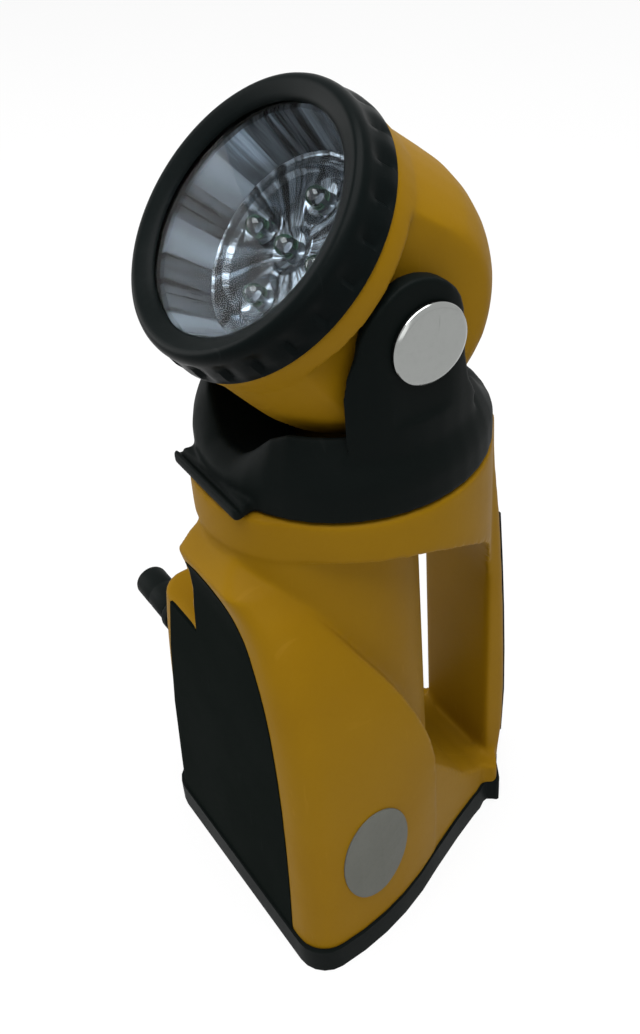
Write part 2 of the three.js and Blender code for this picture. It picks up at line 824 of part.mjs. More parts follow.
function thumbTab() {
  const inner = -collarRadius + tabTall;
  const half = tabWidth / 2;
  const chamfer = tabTall / 4;
  const plate = alongZ([
    [-half + 2 * chamfer, inner], [-half, -tabReach + chamfer], [-half + chamfer, -tabReach],
    [half - chamfer, -tabReach], [half, -tabReach + chamfer], [half - 2 * chamfer, inner],
  ], collarBottom, collarBottom + tabTall);
  const grooveBack = -collarRadius - tabTall * grooveBackShare;
  const groove = box(
    [-tabWidth, grooveBack - tabTall * grooveWideShare, collarBottom + tabTall * grooveFloorShare],
    [tabWidth, grooveBack, collarBottom + tabTall * 2],
  );
  return cut(plate, groove);
}

function yokeCollar() {
  const pinHoles = [-1, 1].map((side) => diskX(
    pinRadius + slideFit,
    side > 0 ? armInner - overrun : -armOuter - overrun,
    side > 0 ? armOuter + overrun : -armInner + overrun,
    pivotBack,
    pivotHeight,
  ));
  return cut(join(collarRing(), yokeArm(-1), yokeArm(1), thumbTab()), ...pinHoles);
}

function swivelRetainer() {
  const top = neckTop - neckPlate - seatGap;
  const inner = spigotRadius + slideFit;
  return turned([
    [inner, top - retainerTall], [retainerRadius, top - retainerTall], [retainerRadius, top], [inner, top],
  ]);
}

function pivotPin(side) {
  const from = domeSide - headWall - overrun;
  return side > 0
    ? diskX(pinRadius, from, armOuter, pivotBack, pivotHeight)
    : diskX(pinRadius, -armOuter, -from, pivotBack, pivotHeight);
}

const capBevelShare = 0.35;

// Chrome cap: a flat disc with a bevelled rim over the pin's end
function pivotCap(side) {
  const inner = armOuter + slideFit;
  const bevel = capThick * capBevelShare;
  const profile = [
    [0, inner], [capRadius, inner], [capRadius, inner + capThick - bevel],
    [capRadius - bevel, inner + capThick], [0, inner + capThick],
  ].map(([radius, height]) => new THREE.Vector2(radius, height));
  const geometry = new THREE.LatheGeometry(profile, roundSteps).rotateZ(-side * rightAngle);
  return solidOf(geometry.translate(0, pivotBack, pivotHeight));
}

// The head's band: shares of its front radius and of its depth
const bandShares = [[0.984, 0], [0.991, 0.33], [1, 1]];
const domeEndAngle = 0.16;

// The tool that gives the dome its two flat sides with soft edges, drawn in by the given amount
function sideTool(inset, reach) {
  const half = domeSide - inset;
  const sphere = domeRadius - inset;
  const round = domeSideRound;
  const centre = [Math.sqrt((sphere - round) ** 2 - (half - round) ** 2), half - round];
  const start = Math.atan2(centre[1], centre[0]);
  const outer = sphere + overrun;
  const quarter = [[0, half]];
  const roundedSteps = 4;
  for (let i = 0; i <= roundedSteps; i++) {
    const angle = rightAngle + (start - rightAngle) * i / roundedSteps;
    quarter.push([centre[0] + round * Math.cos(angle), centre[1] + round * Math.sin(angle)]);
  }
  const arcSteps = 4;
  for (let i = 0; i <= arcSteps; i++) {
    const angle = start * (1 - i / arcSteps);
    quarter.push([outer * Math.cos(angle), outer * Math.sin(angle)]);
  }
  const lower = quarter.slice(0, -1).map(([u, x]) => [u, -x]);
  const upward = [...lower, ...quarter.slice().reverse()];
  const profile = upward.map(([u, x]) => new THREE.Vector2(u, x));
  const barrel = solidOf(new THREE.LatheGeometry(profile, roundSteps).rotateZ(-rightAngle));
  const mirrored = upward.slice(1, -1).map(([u, x]) => [-u, x]).reverse();
  const outline = [...upward, ...mirrored].map(([u, x]) => [x, u]);
  return join(barrel, alongZ(outline, 0, reach));
}

// Dome about the pivot that runs on to the band, its sides flat, drawn in by the given amount
function dome(inset, reach) {
  const radius = domeRadius - inset;
  const arcSteps = roundSteps / 4;
  const points = [[0, -radius]];
  for (let i = 1; i <= arcSteps; i++) {
    const angle = (rightAngle + domeEndAngle) * i / arcSteps - rightAngle;
    points.push([radius * Math.cos(angle), radius * Math.sin(angle)]);
  }
  const mouth = bandRadius - bandStep - inset;
  const profile = [...points, [mouth, bandRear], [mouth, reach], [0, reach]];
  return common(turned(profile), sideTool(inset, reach + overrun));
}

// Head housing in the head's own frame: dome behind, band and spigot in front, hollow to the front
function headHousing() {
  const bandDeep = bandFront - bandRear;
  const edge = bandShares.map(([radiusShare, deepShare]) => [
    bandRadius * radiusShare, bandRear + bandDeep * deepShare,
  ]);
  const band = turned([
    [0, bandRear], ...edge, [headSpigotRadius, bandFront], [headSpigotRadius, spigotFront], [0, spigotFront],
  ]);
  const bore = diskZ(headSpigotRadius - headWall, bandRear + bandWall, spigotFront + overrun);
  const bores = [-1, 1].map((end) => diskX(
    pinRadius + slideFit,
    end > 0 ? domeSide - headWall - overrun : -domeSide - overrun,
    end > 0 ? domeSide + overrun : -domeSide + headWall + overrun,
    0,
    0,
  ));
  const hollow = dome(headWall, bandRear + bandWall + overrun);
  return cut(join(dome(0, bandRear + overrun), band), hollow, bore, ...bores);
}

// Bezel ring: shares of its depth behind the front, with how many rib depths the surface lies in
const bezelShares = [[0, 0], [0.12, 0], [0.24, 1], [0.62, 1.1], [0.8, 1.45], [0.93, 2.1]];
const bezelMouthShare = 0.06;
const ribLongShare = 0.5;
const ribPlaceShare = 0.38;
const ribCoverShare = 0.5;
const ribSinkShare = 1.2;

// Bezel ring with grip ribs, its rear face just clear of the housing's band
function bezelRing() {
  const back = bandFront + seatGap;
  const deep = bezelFront - back;
  const lensBack = spigotFront + gasketThick + seatGap;
  const lensFront = lensBack + lensThick + seatGap;
  const outside = bezelShares.map(([deepShare, ribs]) => [
    bezelRadius - bezelRibDeep * ribs, back + deep * deepShare,
  ]);
  const body = turned([
    [headSpigotRadius + seatGap, back], ...outside,
    [bezelCrest, bezelFront], [bezelCrest - overrun, bezelFront - deep * bezelMouthShare],
    [bezelOpening, lensFront + seatGap], [bezelOpening, lensFront], [lensRadius + seatGap, lensFront],
    [lensRadius + seatGap, spigotFront + seatGap], [headSpigotRadius + seatGap, spigotFront + seatGap],
  ], bezelRibs * 2);
  const ribWide = bezelRadius * fullTurn / bezelRibs * ribCoverShare;
  const ribs = [];
  for (let i = 0; i < bezelRibs; i++) {
    const rib = new THREE.BoxGeometry(bezelRibDeep * 2, ribWide, deep * ribLongShare)
      .translate(bezelRadius - bezelRibDeep * ribSinkShare, 0, back + deep * ribPlaceShare)
      .rotateZ(fullTurn * i / bezelRibs);
    ribs.push(solidOf(rib));
  }
  return join(body, ...ribs);
}

function lensDisc() {
  const back = spigotFront + gasketThick + seatGap + slideFit;
  return diskZ(lensRadius, back, back + lensThick);
}

function lensGasket() {
  const back = spigotFront + seatGap;
  return turned([
    [gasketInner, back], [lensRadius, back],
    [lensRadius, back + gasketThick], [gasketInner, back + gasketThick],
  ]);
}

const ledPlaces = [[0, 0]];
for (let i = 0; i < 4; i++) {
  ledPlaces.push([ledRing * Math.cos(rightAngle * i), ledRing * Math.sin(rightAngle * i)]);
}

// Faceted reflector: shares of the mouth's radius at the floor and at the underside
const floorShare = 0.94;
const underShare = 0.8;

// Flat-sided wall, thick floor with a cup at each lamp, and a rim flange
function reflectorBowl() {
  const rim = spigotFront;
  const flange = headSpigotRadius - headWall - seatGap;
  const floor = reflectorFloor;
  const under = floor - cupDeep;
  const floorRadius = reflectorMouth * floorShare;
  const underRadius = reflectorMouth * underShare;
  const bandClear = bandRear + bandWall + seatGap;
  const body = turned([
    [0, under], [underRadius, under], [underRadius, bandClear], [floorRadius + reflectorWall, bandClear],
    [reflectorMouth + reflectorWall, rim - reflectorWall], [flange, rim - reflectorWall], [flange, rim],
    [reflectorMouth, rim], [floorRadius, floor], [0, floor],
  ], reflectorFacets);
  const cups = ledPlaces.map(([x, y]) => {
    const cup = turned([
      [0, under - overrun], [ledRadius + seatGap, under - overrun],
      [ledRadius + seatGap, under + reflectorWall],
      [cupRadius, floor + slideFit], [0, floor + slideFit],
    ], smallSteps);
    return cup.translate([x, y, 0]);
  });
  return cut(body, ...cups);
}

function ledBoard() {
  const top = reflectorFloor - cupDeep - seatGap;
  return diskZ(ledBoardRadius, top - ledBoardThick, top, smallSteps * 2);
}

function ledLamp() {
  const from = reflectorFloor - cupDeep - seatGap;
  const domeSteps = 4;
  const lampSteps = 12;
  const top = from + ledTall;
  const profile = [[0, from], [ledRadius, from]];
  for (let i = 0; i <= domeSteps; i++) {
    const angle = rightAngle * i / domeSteps;
    const radius = i === domeSteps ? 0 : ledRadius * Math.cos(angle);
    profile.push([radius, top - ledRadius + ledRadius * Math.sin(angle)]);
  }
  return turned(profile, lampSteps);
}

// Gear teeth: pressure angle, and the tip, root and tooth width as shares
const pressureDegrees = 20;
const tipShare = 0.9;
const rootShare = 1.25;
const toothShare = 0.22;

// Involute-like gear outline with a tooth centred on the first axis, turned by the given angle
function gearOutline(teeth, turnBy) {
  const pitchRadius = pitch(teeth);
  const pressure = THREE.MathUtils.degToRad(pressureDegrees);
  const baseCircle = pitchRadius * Math.cos(pressure);
  const tip = pitchRadius + gearModule * tipShare;
  const root = pitchRadius - gearModule * rootShare;
  const involute = (angle) => Math.tan(angle) - angle;
  const halfAtPitch = fullTurn / teeth * toothShare;
  const half = (radius) => {
    const inside = Math.acos(Math.min(baseCircle / Math.max(radius, baseCircle), 1));
    return halfAtPitch + involute(pressure) - involute(inside);
  };
  const radii = [root, pitchRadius, tip];
  const points = [];
  for (let i = 0; i < teeth; i++) {
    const middle = turnBy + fullTurn * i / teeth;
    for (const radius of radii) points.push([radius, middle - half(radius)]);
    for (const radius of radii.slice().reverse()) points.push([radius, middle + half(radius)]);
  }
  return points.map(([radius, angle]) => [radius * Math.cos(angle), radius * Math.sin(angle)]);
}

function gearX(teeth, turnBy, from, to, boreRadius) {
  const gear = alongX(gearOutline(teeth, turnBy), from, to);
  return boreRadius > 0 ? cut(gear, diskX(boreRadius, from - overrun, to + overrun, 0, 0)) : gear;
}

function gearboxPlate(from, top, holes) {
  const corner = postRadius * 2;
  const front = -crankFront - pitch(crankTeeth) - corner;
  const back = plateBack;
  const points = [
    [front, baseFloor + seatGap], [back, baseFloor + seatGap], [back, top - corner],
    [back - corner, top], [front + corner, top], [front, top - corner],
  ];
  return cut(
    alongX(points, from, from + plateThick),
    ...holes.map(([y, z, radius]) => diskX(radius, from - overrun, from + plateThick + overrun, y, z)),
  );
}

function statorCan() {
  const from = rightPlateTo + slideFit;
  const to = from + statorLong;
  const y = -crankFront;
  return cut(
    diskX(statorRadius, from, to, y, rotorHeight, smallSteps * 2),
    diskX(statorRadius - statorWall, from - overrun, to - statorWall, y, rotorHeight, smallSteps * 2),
    diskX(axleRadius + slideFit, to - statorWall - overrun, to + overrun, y, rotorHeight),
  );
}

const nubShare = 0.38;
const cradleShare = 0.8;

function cellSolid() {
  const from = baseFloor + plateThick + seatGap * 2;
  const bodyTop = from + cellLong - cellNub;
  return turned([
    [0, from], [cellRadius, from], [cellRadius, bodyTop], [cellRadius * nubShare, bodyTop],
    [cellRadius * nubShare, from + cellLong], [0, from + cellLong],
  ], smallSteps);
}

const cellPlaces = [-1, 0, 1].map((step) => [cellSide, -crankFront - seatGap + step * cellPitch]);

// Open cradle under and beside the cells
function batteryHolder() {
  const reach = cellPitch + cellRadius + seatGap;
  const floor = baseFloor + seatGap;
  const inner = cellSide - cellRadius - seatGap;
  const middle = cellPlaces[1][1];
  return join(
    box(
      [inner - plateThick, middle - reach, floor],
      [cellSide + cellRadius, middle + reach, floor + plateThick],
    ),
    box([inner - plateThick, middle - reach, floor], [inner, middle + reach, floor + cellLong * cradleShare]),
  );
}

function circuitBoard() {
  const middle = cellPlaces[1][1];
  return box(
    [boardSide, middle - boardLong / 2, baseFloor + seatGap],
    [boardSide + boardThick, middle + boardLong / 2, baseFloor + seatGap + boardTall],
  );
}

const buttonBackShare = 0.9;

function switchButton() {
  const flange = armClear;
  const outer = handleOuter * buttonBackShare + buttonProud;
  return join(
    alongY([
      [-buttonWide / 2, buttonHeight - buttonTall / 2], [buttonWide / 2, buttonHeight - buttonTall / 2],
      [buttonWide / 2, buttonHeight + buttonTall / 2], [-buttonWide / 2, buttonHeight + buttonTall / 2],
    ], buttonSeat - buttonTravel, outer),
    box(
      [-buttonWide / 2 - flange, buttonSeat - buttonTravel, buttonHeight - buttonTall / 2 - flange],
      [buttonWide / 2 + flange, buttonSeat - seatGap, buttonHeight + buttonTall / 2 + flange],
    ),
  );
}

function switchBody() {
  const back = buttonSeat - buttonTravel * 2 - seatGap;
  return box(
    [-buttonWide / 2, back - switchDeep, buttonHeight - buttonTall / 2],
    [buttonWide / 2, back, neckTop - neckPlate - seatGap],
  );
}

// Crank details as shares of the arm's thickness, the hub, the shaft and the knob
const armRoundShare = 0.2;
const hubNeckShare = 0.75;
const headWideShare = 1.5;
const knobPinShare = 0.8;
const knobBoreShare = 0.84;
const knobRoundShare = 0.14;
const boreSteps = 12;

// Crank parts in the crank's own frame: its axis is X and its arm points along Y
function crankArm() {
  const hubFrom = padFace - bushFlange - seatGap;
  const plate = capsule([0, 0], [crankReach, 0], armHubRadius, armEndRadius, boreSteps);
  return cut(
    join(
      alongX(plate, armFace - armThick, armFace, armThick * armRoundShare),
      diskX(armHubRadius * hubNeckShare, armFace - armThick / 2, hubFrom, 0, 0),
    ),
    diskX(shaftRadius + slideFit, armFace - armThick - overrun, hubFrom + overrun, 0, 0),
    diskX(knobPinRadius + slideFit, armFace - armThick - overrun, armFace + overrun, crankReach, 0),
  );
}

function crankShaft() {
  const from = armFace - armThick;
  return cut(
    diskX(shaftRadius, from, rightPlateTo + seatGap, 0, 0),
    diskX(axleRadius, from - overrun, from + armThick * 2, 0, 0, boreSteps),
  );
}

function crankScrew() {
  const face = armFace - armThick - seatGap;
  return join(
    diskX(shaftRadius * headWideShare, face - armThick / 2, face, 0, 0),
    diskX(axleRadius - slideFit, face - slideFit, face + armThick * 2 - armClear, 0, 0, boreSteps),
  );
}

function knobPin() {
  return diskX(knobPinRadius, armFace - armThick - seatGap - knobLong * knobPinShare, armFace, crankReach, 0);
}

function crankKnob() {
  const inner = armFace - armThick - seatGap;
  const outer = inner - knobLong;
  const round = knobRadius * knobRoundShare;
  const profile = [
    [0, outer], [knobRadius - round, outer], [knobRadius, outer + round], [knobRadius, inner - round],
    [knobRadius - round, inner], [knobPinRadius + slideFit, inner],
    [knobPinRadius + slideFit, inner - knobLong * knobBoreShare], [0, inner - knobLong * knobBoreShare],
  ].map(([radius, place]) => new THREE.Vector2(radius, place));
  const geometry = new THREE.LatheGeometry(profile, smallSteps).rotateZ(-rightAngle);
  return solidOf(geometry.translate(0, crankReach, 0));
}

// Assembly
const model = new THREE.Group();

function add(group, name, solid, material) {
  const mesh = new THREE.Mesh(geometryOf(solid), material);
  mesh.name = name;
  group.add(mesh);
  return mesh;
}

function frame(parent, x, y, z, tiltX) {
  const group = new THREE.Group();
  group.position.set(x, y, z);
  group.rotation.x = THREE.MathUtils.degToRad(tiltX);
  parent.add(group);
  return group;
}

add(model, 'body_shell', bodyShell(), yellow);
add(model, 'base_plate', basePlate(), black);
screwPlaces.forEach(([x, y], i) => add(model, `base_screw_${i + 1}`, screw(), steel).position.set(x, y, 0));
add(model, 'front_panel', frontPanel(), black);
add(model, 'handle_grip', gripSolid(0), rubber);
add(model, 'oval_plate', ovalPlate(), grey);
add(model, 'yoke_collar', yokeCollar(), black);
add(model, 'swivel_retainer', swivelRetainer(), white);
for (const [side, name] of [[-1, 'left'], [1, 'right']]) {
  add(model, `pivot_pin_${name}`, pivotPin(side), steel);
  add(model, `pivot_cap_${name}`, pivotCap(side), chrome);
}

const head = frame(model, 0, pivotBack, pivotHeight, 90 - headTilt);
add(head, 'head_housing', headHousing(), yellow);
add(head, 'bezel_ring', bezelRing(), black);
add(head, 'lens', lensDisc(), clear);
add(head, 'lens_gasket', lensGasket(), rubber);
add(head, 'reflector', reflectorBowl(), mirror);
add(head, 'led_board', ledBoard(), green);
ledPlaces.forEach(([x, y], i) => add(head, `led_${i + 1}`, ledLamp(), ledWhite).position.set(x, y, 0));

const crank = frame(model, 0, -crankFront, crankHeight, crankAngle);
add(crank, 'crank_arm', crankArm(), black);
add(crank, 'crank_shaft', crankShaft(), steel);
add(crank, 'crank_screw', crankScrew(), steel);
add(crank, 'knob_pin', knobPin(), steel);
add(crank, 'crank_knob', crankKnob(), black);

const gears = frame(model, 0, -crankFront, crankHeight, 0);
const crankGear = gearX(crankTeeth, rightAngle, crankGearFrom, crankGearTo, shaftRadius + slideFit);
add(gears, 'crank_gear', crankGear, white);

const idler = frame(model, 0, -crankFront, idlerHeight, 0);
const idlerMesh = -rightAngle + fullTurn / idlerPinionTeeth / 2;
const idlerParts = cut(
  join(
    gearX(idlerTeeth, rightAngle, idlerGearFrom, idlerGearTo, 0),
    gearX(idlerPinionTeeth, idlerMesh, crankGearFrom - pinionExtra / 2, idlerGearFrom + overrun, 0),
  ),
  diskX(axleRadius + slideFit, -leftPlate, 0, 0, 0),
);
add(idler, 'idler_gear', idlerParts, white);
add(idler, 'idler_axle', diskX(axleRadius, -leftPlate - plateThick, rightPlateTo, 0, 0), steel);

const magnetShare = 0.72;
const rotor = frame(model, 0, -crankFront, rotorHeight, 0);
const rotorMesh = -rightAngle + fullTurn / rotorTeeth / 2;
const rotorFrom = rightPlateTo + armClear;
const rotorTo = rotorFrom + statorLong * magnetShare;
add(rotor, 'rotor_shaft', join(
  diskX(axleRadius, idlerGearFrom - pinionExtra, rightPlateTo + statorLong + slideFit, 0, 0),
  gearX(rotorTeeth, rotorMesh, idlerGearFrom - pinionExtra / 2, idlerGearTo + pinionExtra / 2, 0),
), brass);
add(rotor, 'rotor_magnet', cut(
  diskX(rotorRadius, rotorFrom, rotorTo, 0, 0, smallSteps * 2),
  diskX(axleRadius + slideFit / 2, rotorFrom - overrun, rotorTo + overrun, 0, 0),
), magnetGrey);

const shaftHole = [-crankFront, crankHeight, shaftRadius + slideFit];
const axleHole = [-crankFront, idlerHeight, axleRadius + slideFit];
const rotorHole = [-crankFront, rotorHeight, axleRadius + slideFit];
const leftTop = idlerHeight + bushFlangeRadius + postRadius;
const rightTop = rotorHeight + statorRadius;
add(model, 'gearbox_plate_left', gearboxPlate(-leftPlate - plateThick, leftTop, [shaftHole, axleHole]), grey);
const rightHoles = [shaftHole, axleHole, rotorHole];
add(model, 'gearbox_plate_right', gearboxPlate(rightPlateFrom, rightTop, rightHoles), grey);
const postFront = -crankFront - pitch(crankTeeth) - postRadius / 2;
const postBack = plateBack - postRadius - armClear;
const postLow = baseHeight + postRadius * 2;
[[postFront, postLow], [postBack, postLow], [postFront, leftTop - postRadius * 2]].forEach(([y, z], i) => {
  const post = diskX(postRadius, -leftPlate + slideFit, rightPlateFrom - slideFit, y, z);
  add(model, `gearbox_post_${i + 1}`, post, steel);
});
add(model, 'crank_bush', join(
  ringX(
    bushRadius, shaftRadius + slideFit, padFace - bushFlange, padFace + blockCorner, -crankFront, crankHeight,
  ),
  ringX(
    bushFlangeRadius, shaftRadius + slideFit, padFace - bushFlange, padFace - slideFit,
    -crankFront, crankHeight,
  ),
), brass);
add(model, 'stator_can', statorCan(), steel);
add(model, 'battery_holder', batteryHolder(), black);
cellPlaces.forEach(([x, y], i) => {
  add(model, `battery_cell_${i + 1}`, cellSolid(), blue).position.set(x, y, 0);
});
add(model, 'circuit_board', circuitBoard(), green);
add(model, 'switch_body', switchBody(), black);
add(model, 'switch_button', switchButton(), rubber);

export default model;
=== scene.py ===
"""Looks of the hand crank flashlight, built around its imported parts. Metres, in the parts' own frame."""
import json
import math

import bmesh
import bpy
from mathutils import Matrix, Vector, kdtree


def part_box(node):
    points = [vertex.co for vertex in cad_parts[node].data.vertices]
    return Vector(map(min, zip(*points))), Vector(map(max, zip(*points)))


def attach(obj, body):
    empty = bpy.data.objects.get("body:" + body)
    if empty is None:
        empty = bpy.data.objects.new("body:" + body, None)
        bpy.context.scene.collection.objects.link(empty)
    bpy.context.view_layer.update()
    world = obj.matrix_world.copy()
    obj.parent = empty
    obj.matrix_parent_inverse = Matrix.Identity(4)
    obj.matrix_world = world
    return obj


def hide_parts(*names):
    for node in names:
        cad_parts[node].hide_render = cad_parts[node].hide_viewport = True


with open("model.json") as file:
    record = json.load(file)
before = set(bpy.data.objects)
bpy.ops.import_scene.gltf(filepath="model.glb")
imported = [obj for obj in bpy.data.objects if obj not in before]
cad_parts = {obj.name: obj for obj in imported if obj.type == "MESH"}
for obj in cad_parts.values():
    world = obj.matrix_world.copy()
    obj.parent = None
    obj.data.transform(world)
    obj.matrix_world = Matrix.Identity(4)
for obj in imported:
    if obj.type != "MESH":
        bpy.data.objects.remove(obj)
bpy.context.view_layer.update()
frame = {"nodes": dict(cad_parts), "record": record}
mm = 0.001
full_turn = math.tau
quarter_turn = math.pi / 2
upward = (0, 0, 1)


def moved(x, y, z):
    """A move by so many millimetres."""
    return Matrix.Translation((x * mm, y * mm, z * mm))


# Where the head, the caps and the crank sit, in millimetres, as the parts' source has them
head_pivot = (0, 1.8, 193.25)
head_lean = math.radians(44.35)
cap_side = 35.3
crank_axis = (0, -19.15, 42.1)
crank_lean = math.radians(119)
knob_reach = 32.1
head_place = moved(*head_pivot) @ Matrix.Rotation(head_lean, 4, "X")
crank_place = moved(*crank_axis) @ Matrix.Rotation(crank_lean, 4, "X")


# Shader helpers
def feed(tree, socket, value):
    """Give a socket a number, a colour or another socket's value."""
    if isinstance(value, (int, float, tuple)):
        socket.default_value = value
    else:
        tree.links.new(value, socket)


def start_group(name, inputs, outputs):
    """A node group that takes a place and the named inputs, with the sockets at its two ends."""
    group = bpy.data.node_groups.new(name, "ShaderNodeTree")
    group.interface.new_socket("Place", in_out="INPUT", socket_type="NodeSocketVector")
    for end, sockets in (("INPUT", inputs), ("OUTPUT", outputs)):
        for socket in sockets:
            kind = "NodeSocketColor" if "Colour" in socket else "NodeSocketFloat"
            group.interface.new_socket(socket, in_out=end, socket_type=kind)
    return group, group.nodes.new("NodeGroupInput").outputs, group.nodes.new("NodeGroupOutput").inputs


def math_node(tree, operation, *values, clamp=False):
    """The result of one sum on numbers or other sockets."""
    node = tree.nodes.new("ShaderNodeMath")
    node.operation = operation
    node.use_clamp = clamp
    for socket, value in zip(node.inputs, values):
        feed(tree, socket, value)
    return node.outputs[0]


def noise_node(tree, place, scale, detail=2.0, roughness=0.5):
    """Noise with so many patches to one unit of the place."""
    node = tree.nodes.new("ShaderNodeTexNoise")
    tree.links.new(place, node.inputs["Vector"])
    feed(tree, node.inputs["Scale"], scale)
    node.inputs["Detail"].default_value = detail
    node.inputs["Roughness"].default_value = roughness
    return node.outputs["Fac"]


def ramp(tree, value, low, high):
    """0 below the low value and 1 above the high one, with a soft rise between them."""
    node = tree.nodes.new("ShaderNodeMapRange")
    node.interpolation_type = "SMOOTHSTEP"
    tree.links.new(value, node.inputs["Value"])
    node.inputs["From Min"].default_value = low
    node.inputs["From Max"].default_value = high
    return node.outputs["Result"]


def blend_colour(tree, share, a, b):
    """Two colours mixed by a share."""
    node = tree.nodes.new("ShaderNodeMix")
    node.data_type = "RGBA"
    colours = [socket for socket in node.inputs if socket.type == "RGBA"]
    for socket, value in ((node.inputs[0], share), (colours[0], a), (colours[1], b)):
        feed(tree, socket, value)
    return [socket for socket in node.outputs if socket.type == "RGBA"][0]


def mapped(tree, place, shift=(0, 0, 0), turn=(0, 0, 0), stretch=(1, 1, 1)):
    """The place, shifted, turned or stretched."""
    node = tree.nodes.new("ShaderNodeMapping")
    tree.links.new(place, node.inputs["Vector"])
    node.inputs["Location"].default_value = shift
    node.inputs["Rotation"].default_value = turn
    node.inputs["Scale"].default_value = stretch
    return node.outputs["Vector"]


def split_vector(tree, vector):
    """The X, Y and Z of a vector, as sockets."""
    node = tree.nodes.new("ShaderNodeSeparateXYZ")
    tree.links.new(vector, node.inputs[0])
    return node.outputs


def grain_group():
    """Fine moulded grain with a little slow waviness, as a height."""
    waves_per_metre = 90.0
    waviness = 0.4
    group, given, result = start_group("moulded_grain", ["Grains"], ["Height"])
    fine = noise_node(group, given["Place"], given["Grains"], detail=3.0, roughness=0.6)
    slow = noise_node(group, given["Place"], waves_per_metre)
    waves = math_node(group, "MULTIPLY", slow, waviness)
    group.links.new(math_node(group, "ADD", fine, waves), result["Height"])
    return group


def drift_group():
    """Slow uneven colour over a moulding: patches a little darker and duller than the rest."""
    patches_per_metre = 22.0
    specks_per_metre = 900.0
    speck_share = 0.35
    group, given, result = start_group(
        "colour_drift", ["Colour", "Dull Colour", "Amount"], ["Colour", "Mask"])
    broad = noise_node(group, given["Place"], patches_per_metre, detail=4.0, roughness=0.55)
    speck = noise_node(group, given["Place"], specks_per_metre, roughness=0.7)
    specks = math_node(group, "MULTIPLY", ramp(group, speck, low=0.45, high=0.75), speck_share)
    mask = math_node(group, "ADD", ramp(group, broad, low=0.35, high=0.75), specks)
    amount = math_node(group, "MULTIPLY", mask, given["Amount"], clamp=True)
    group.links.new(blend_colour(group, amount, given["Colour"], given["Dull Colour"]), result["Colour"])
    group.links.new(amount, result["Mask"])
    return group


def scuff_group():
    """Short fine scratches and rubbed spots from handling, as a mask."""
    # Turn and stretch of the two sets of scratches, and how many patches of them there are to a metre
    scratches = ((0.6, (60.0, 900.0, 60.0), 57.0), (-0.9, (700.0, 50.0, 80.0), 27.0))
    group, given, result = start_group("handling_scuffs", ["Amount"], ["Mask"])
    masks = []
    for turn, stretch, patches in scratches:
        along = mapped(group, given["Place"], turn=(turn, turn / 2, turn), stretch=stretch)
        lines = ramp(group, noise_node(group, along, 1.0), low=0.66, high=0.72)
        where = ramp(group, noise_node(group, given["Place"], patches), low=0.52, high=0.68)
        masks.append(math_node(group, "MULTIPLY", lines, where))
    both = math_node(group, "MAXIMUM", *masks)
    group.links.new(math_node(group, "MULTIPLY", both, given["Amount"]), result["Mask"])
    return group


def dust_group():
    """Dust that settles on what faces up, in uneven patches, as a mask."""
    patches_per_metre = 130.0
    least_dust = 0.25
    group, given, result = start_group("settled_dust", ["Amount"], ["Mask"])
    normal = group.nodes.new("ShaderNodeNewGeometry").outputs["Normal"]
    up = ramp(group, split_vector(group, normal)["Z"], low=0.15, high=1.0)
    noise = noise_node(group, given["Place"], patches_per_metre, detail=5.0, roughness=0.65)
    patches = math_node(group, "ADD", ramp(group, noise, low=0.4, high=0.8), least_dust)
    settled = math_node(group, "MULTIPLY", up, patches)
    group.links.new(math_node(group, "MULTIPLY", settled, given["Amount"], clamp=True), result["Mask"])
    return group


def painted_reflection_streak_group():
    """Painted reflection: fine streaks of reflected light and shade that run along the lamp head's axis, as a
    tone.
    """
    change_along_axis = 2.0
    group, given, result = start_group("painted_reflection_streaks", ["Streaks"], ["Tone"])
    from_pivot = mapped(group, given["Place"], shift=[-value * mm for value in head_pivot])
    in_head = split_vector(group, mapped(group, from_pivot, turn=(-head_lean, 0, 0)))
    angle = math_node(group, "ARCTAN2", in_head["Y"], in_head["X"])
    around = group.nodes.new("ShaderNodeCombineXYZ")
    group.links.new(math_node(group, "SINE", angle), around.inputs["X"])
    group.links.new(math_node(group, "COSINE", angle), around.inputs["Y"])
    group.links.new(math_node(group, "MULTIPLY", in_head["Z"], change_along_axis), around.inputs["Z"])
    streaks = noise_node(group, around.outputs["Vector"], given["Streaks"], detail=4.0, roughness=0.7)
    group.links.new(ramp(group, streaks, low=0.4, high=0.62), result["Tone"])
    return group


grain, drift, scuffs, dust, painted_reflection_streaks = (
    make() for make in (grain_group, drift_group, scuff_group, dust_group, painted_reflection_streak_group))


def place_group(tree, group, place, **values):
    """A group's outputs at a place. In a value's name, an underscore stands for a space."""
    node = tree.nodes.new("ShaderNodeGroup")
    node.node_tree = group
    tree.links.new(place, node.inputs["Place"])
    for name, value in values.items():
        node.inputs[name.replace("_", " ")].default_value = value
    return node.outputs


def start_material(name, colour, roughness, metallic=0.0, specular=0.5):
    """A plain material, with its node tree, its shader and the place on the object."""
    material = bpy.data.materials.new(name)
    material.use_nodes = True
    tree = material.node_tree
    shader = tree.nodes["Principled BSDF"]
    shader.inputs["Base Color"].default_value = (*colour, 1)
    shader.inputs["Roughness"].default_value = roughness
    shader.inputs["Metallic"].default_value = metallic
    shader.inputs["Specular IOR Level"].default_value = specular
    place = tree.nodes.new("ShaderNodeTexCoord").outputs["Object"]
    return material, tree, shader, place


def vary_roughness(tree, shader, roughness, *changes):
    """Each mask raises or lowers the roughness by the amount beside it."""
    for mask, change in changes:
        step = math_node(tree, "MULTIPLY", mask, change)
        roughness = math_node(tree, "ADD", step, roughness, clamp=True)
    tree.links.new(roughness, shader.inputs["Roughness"])


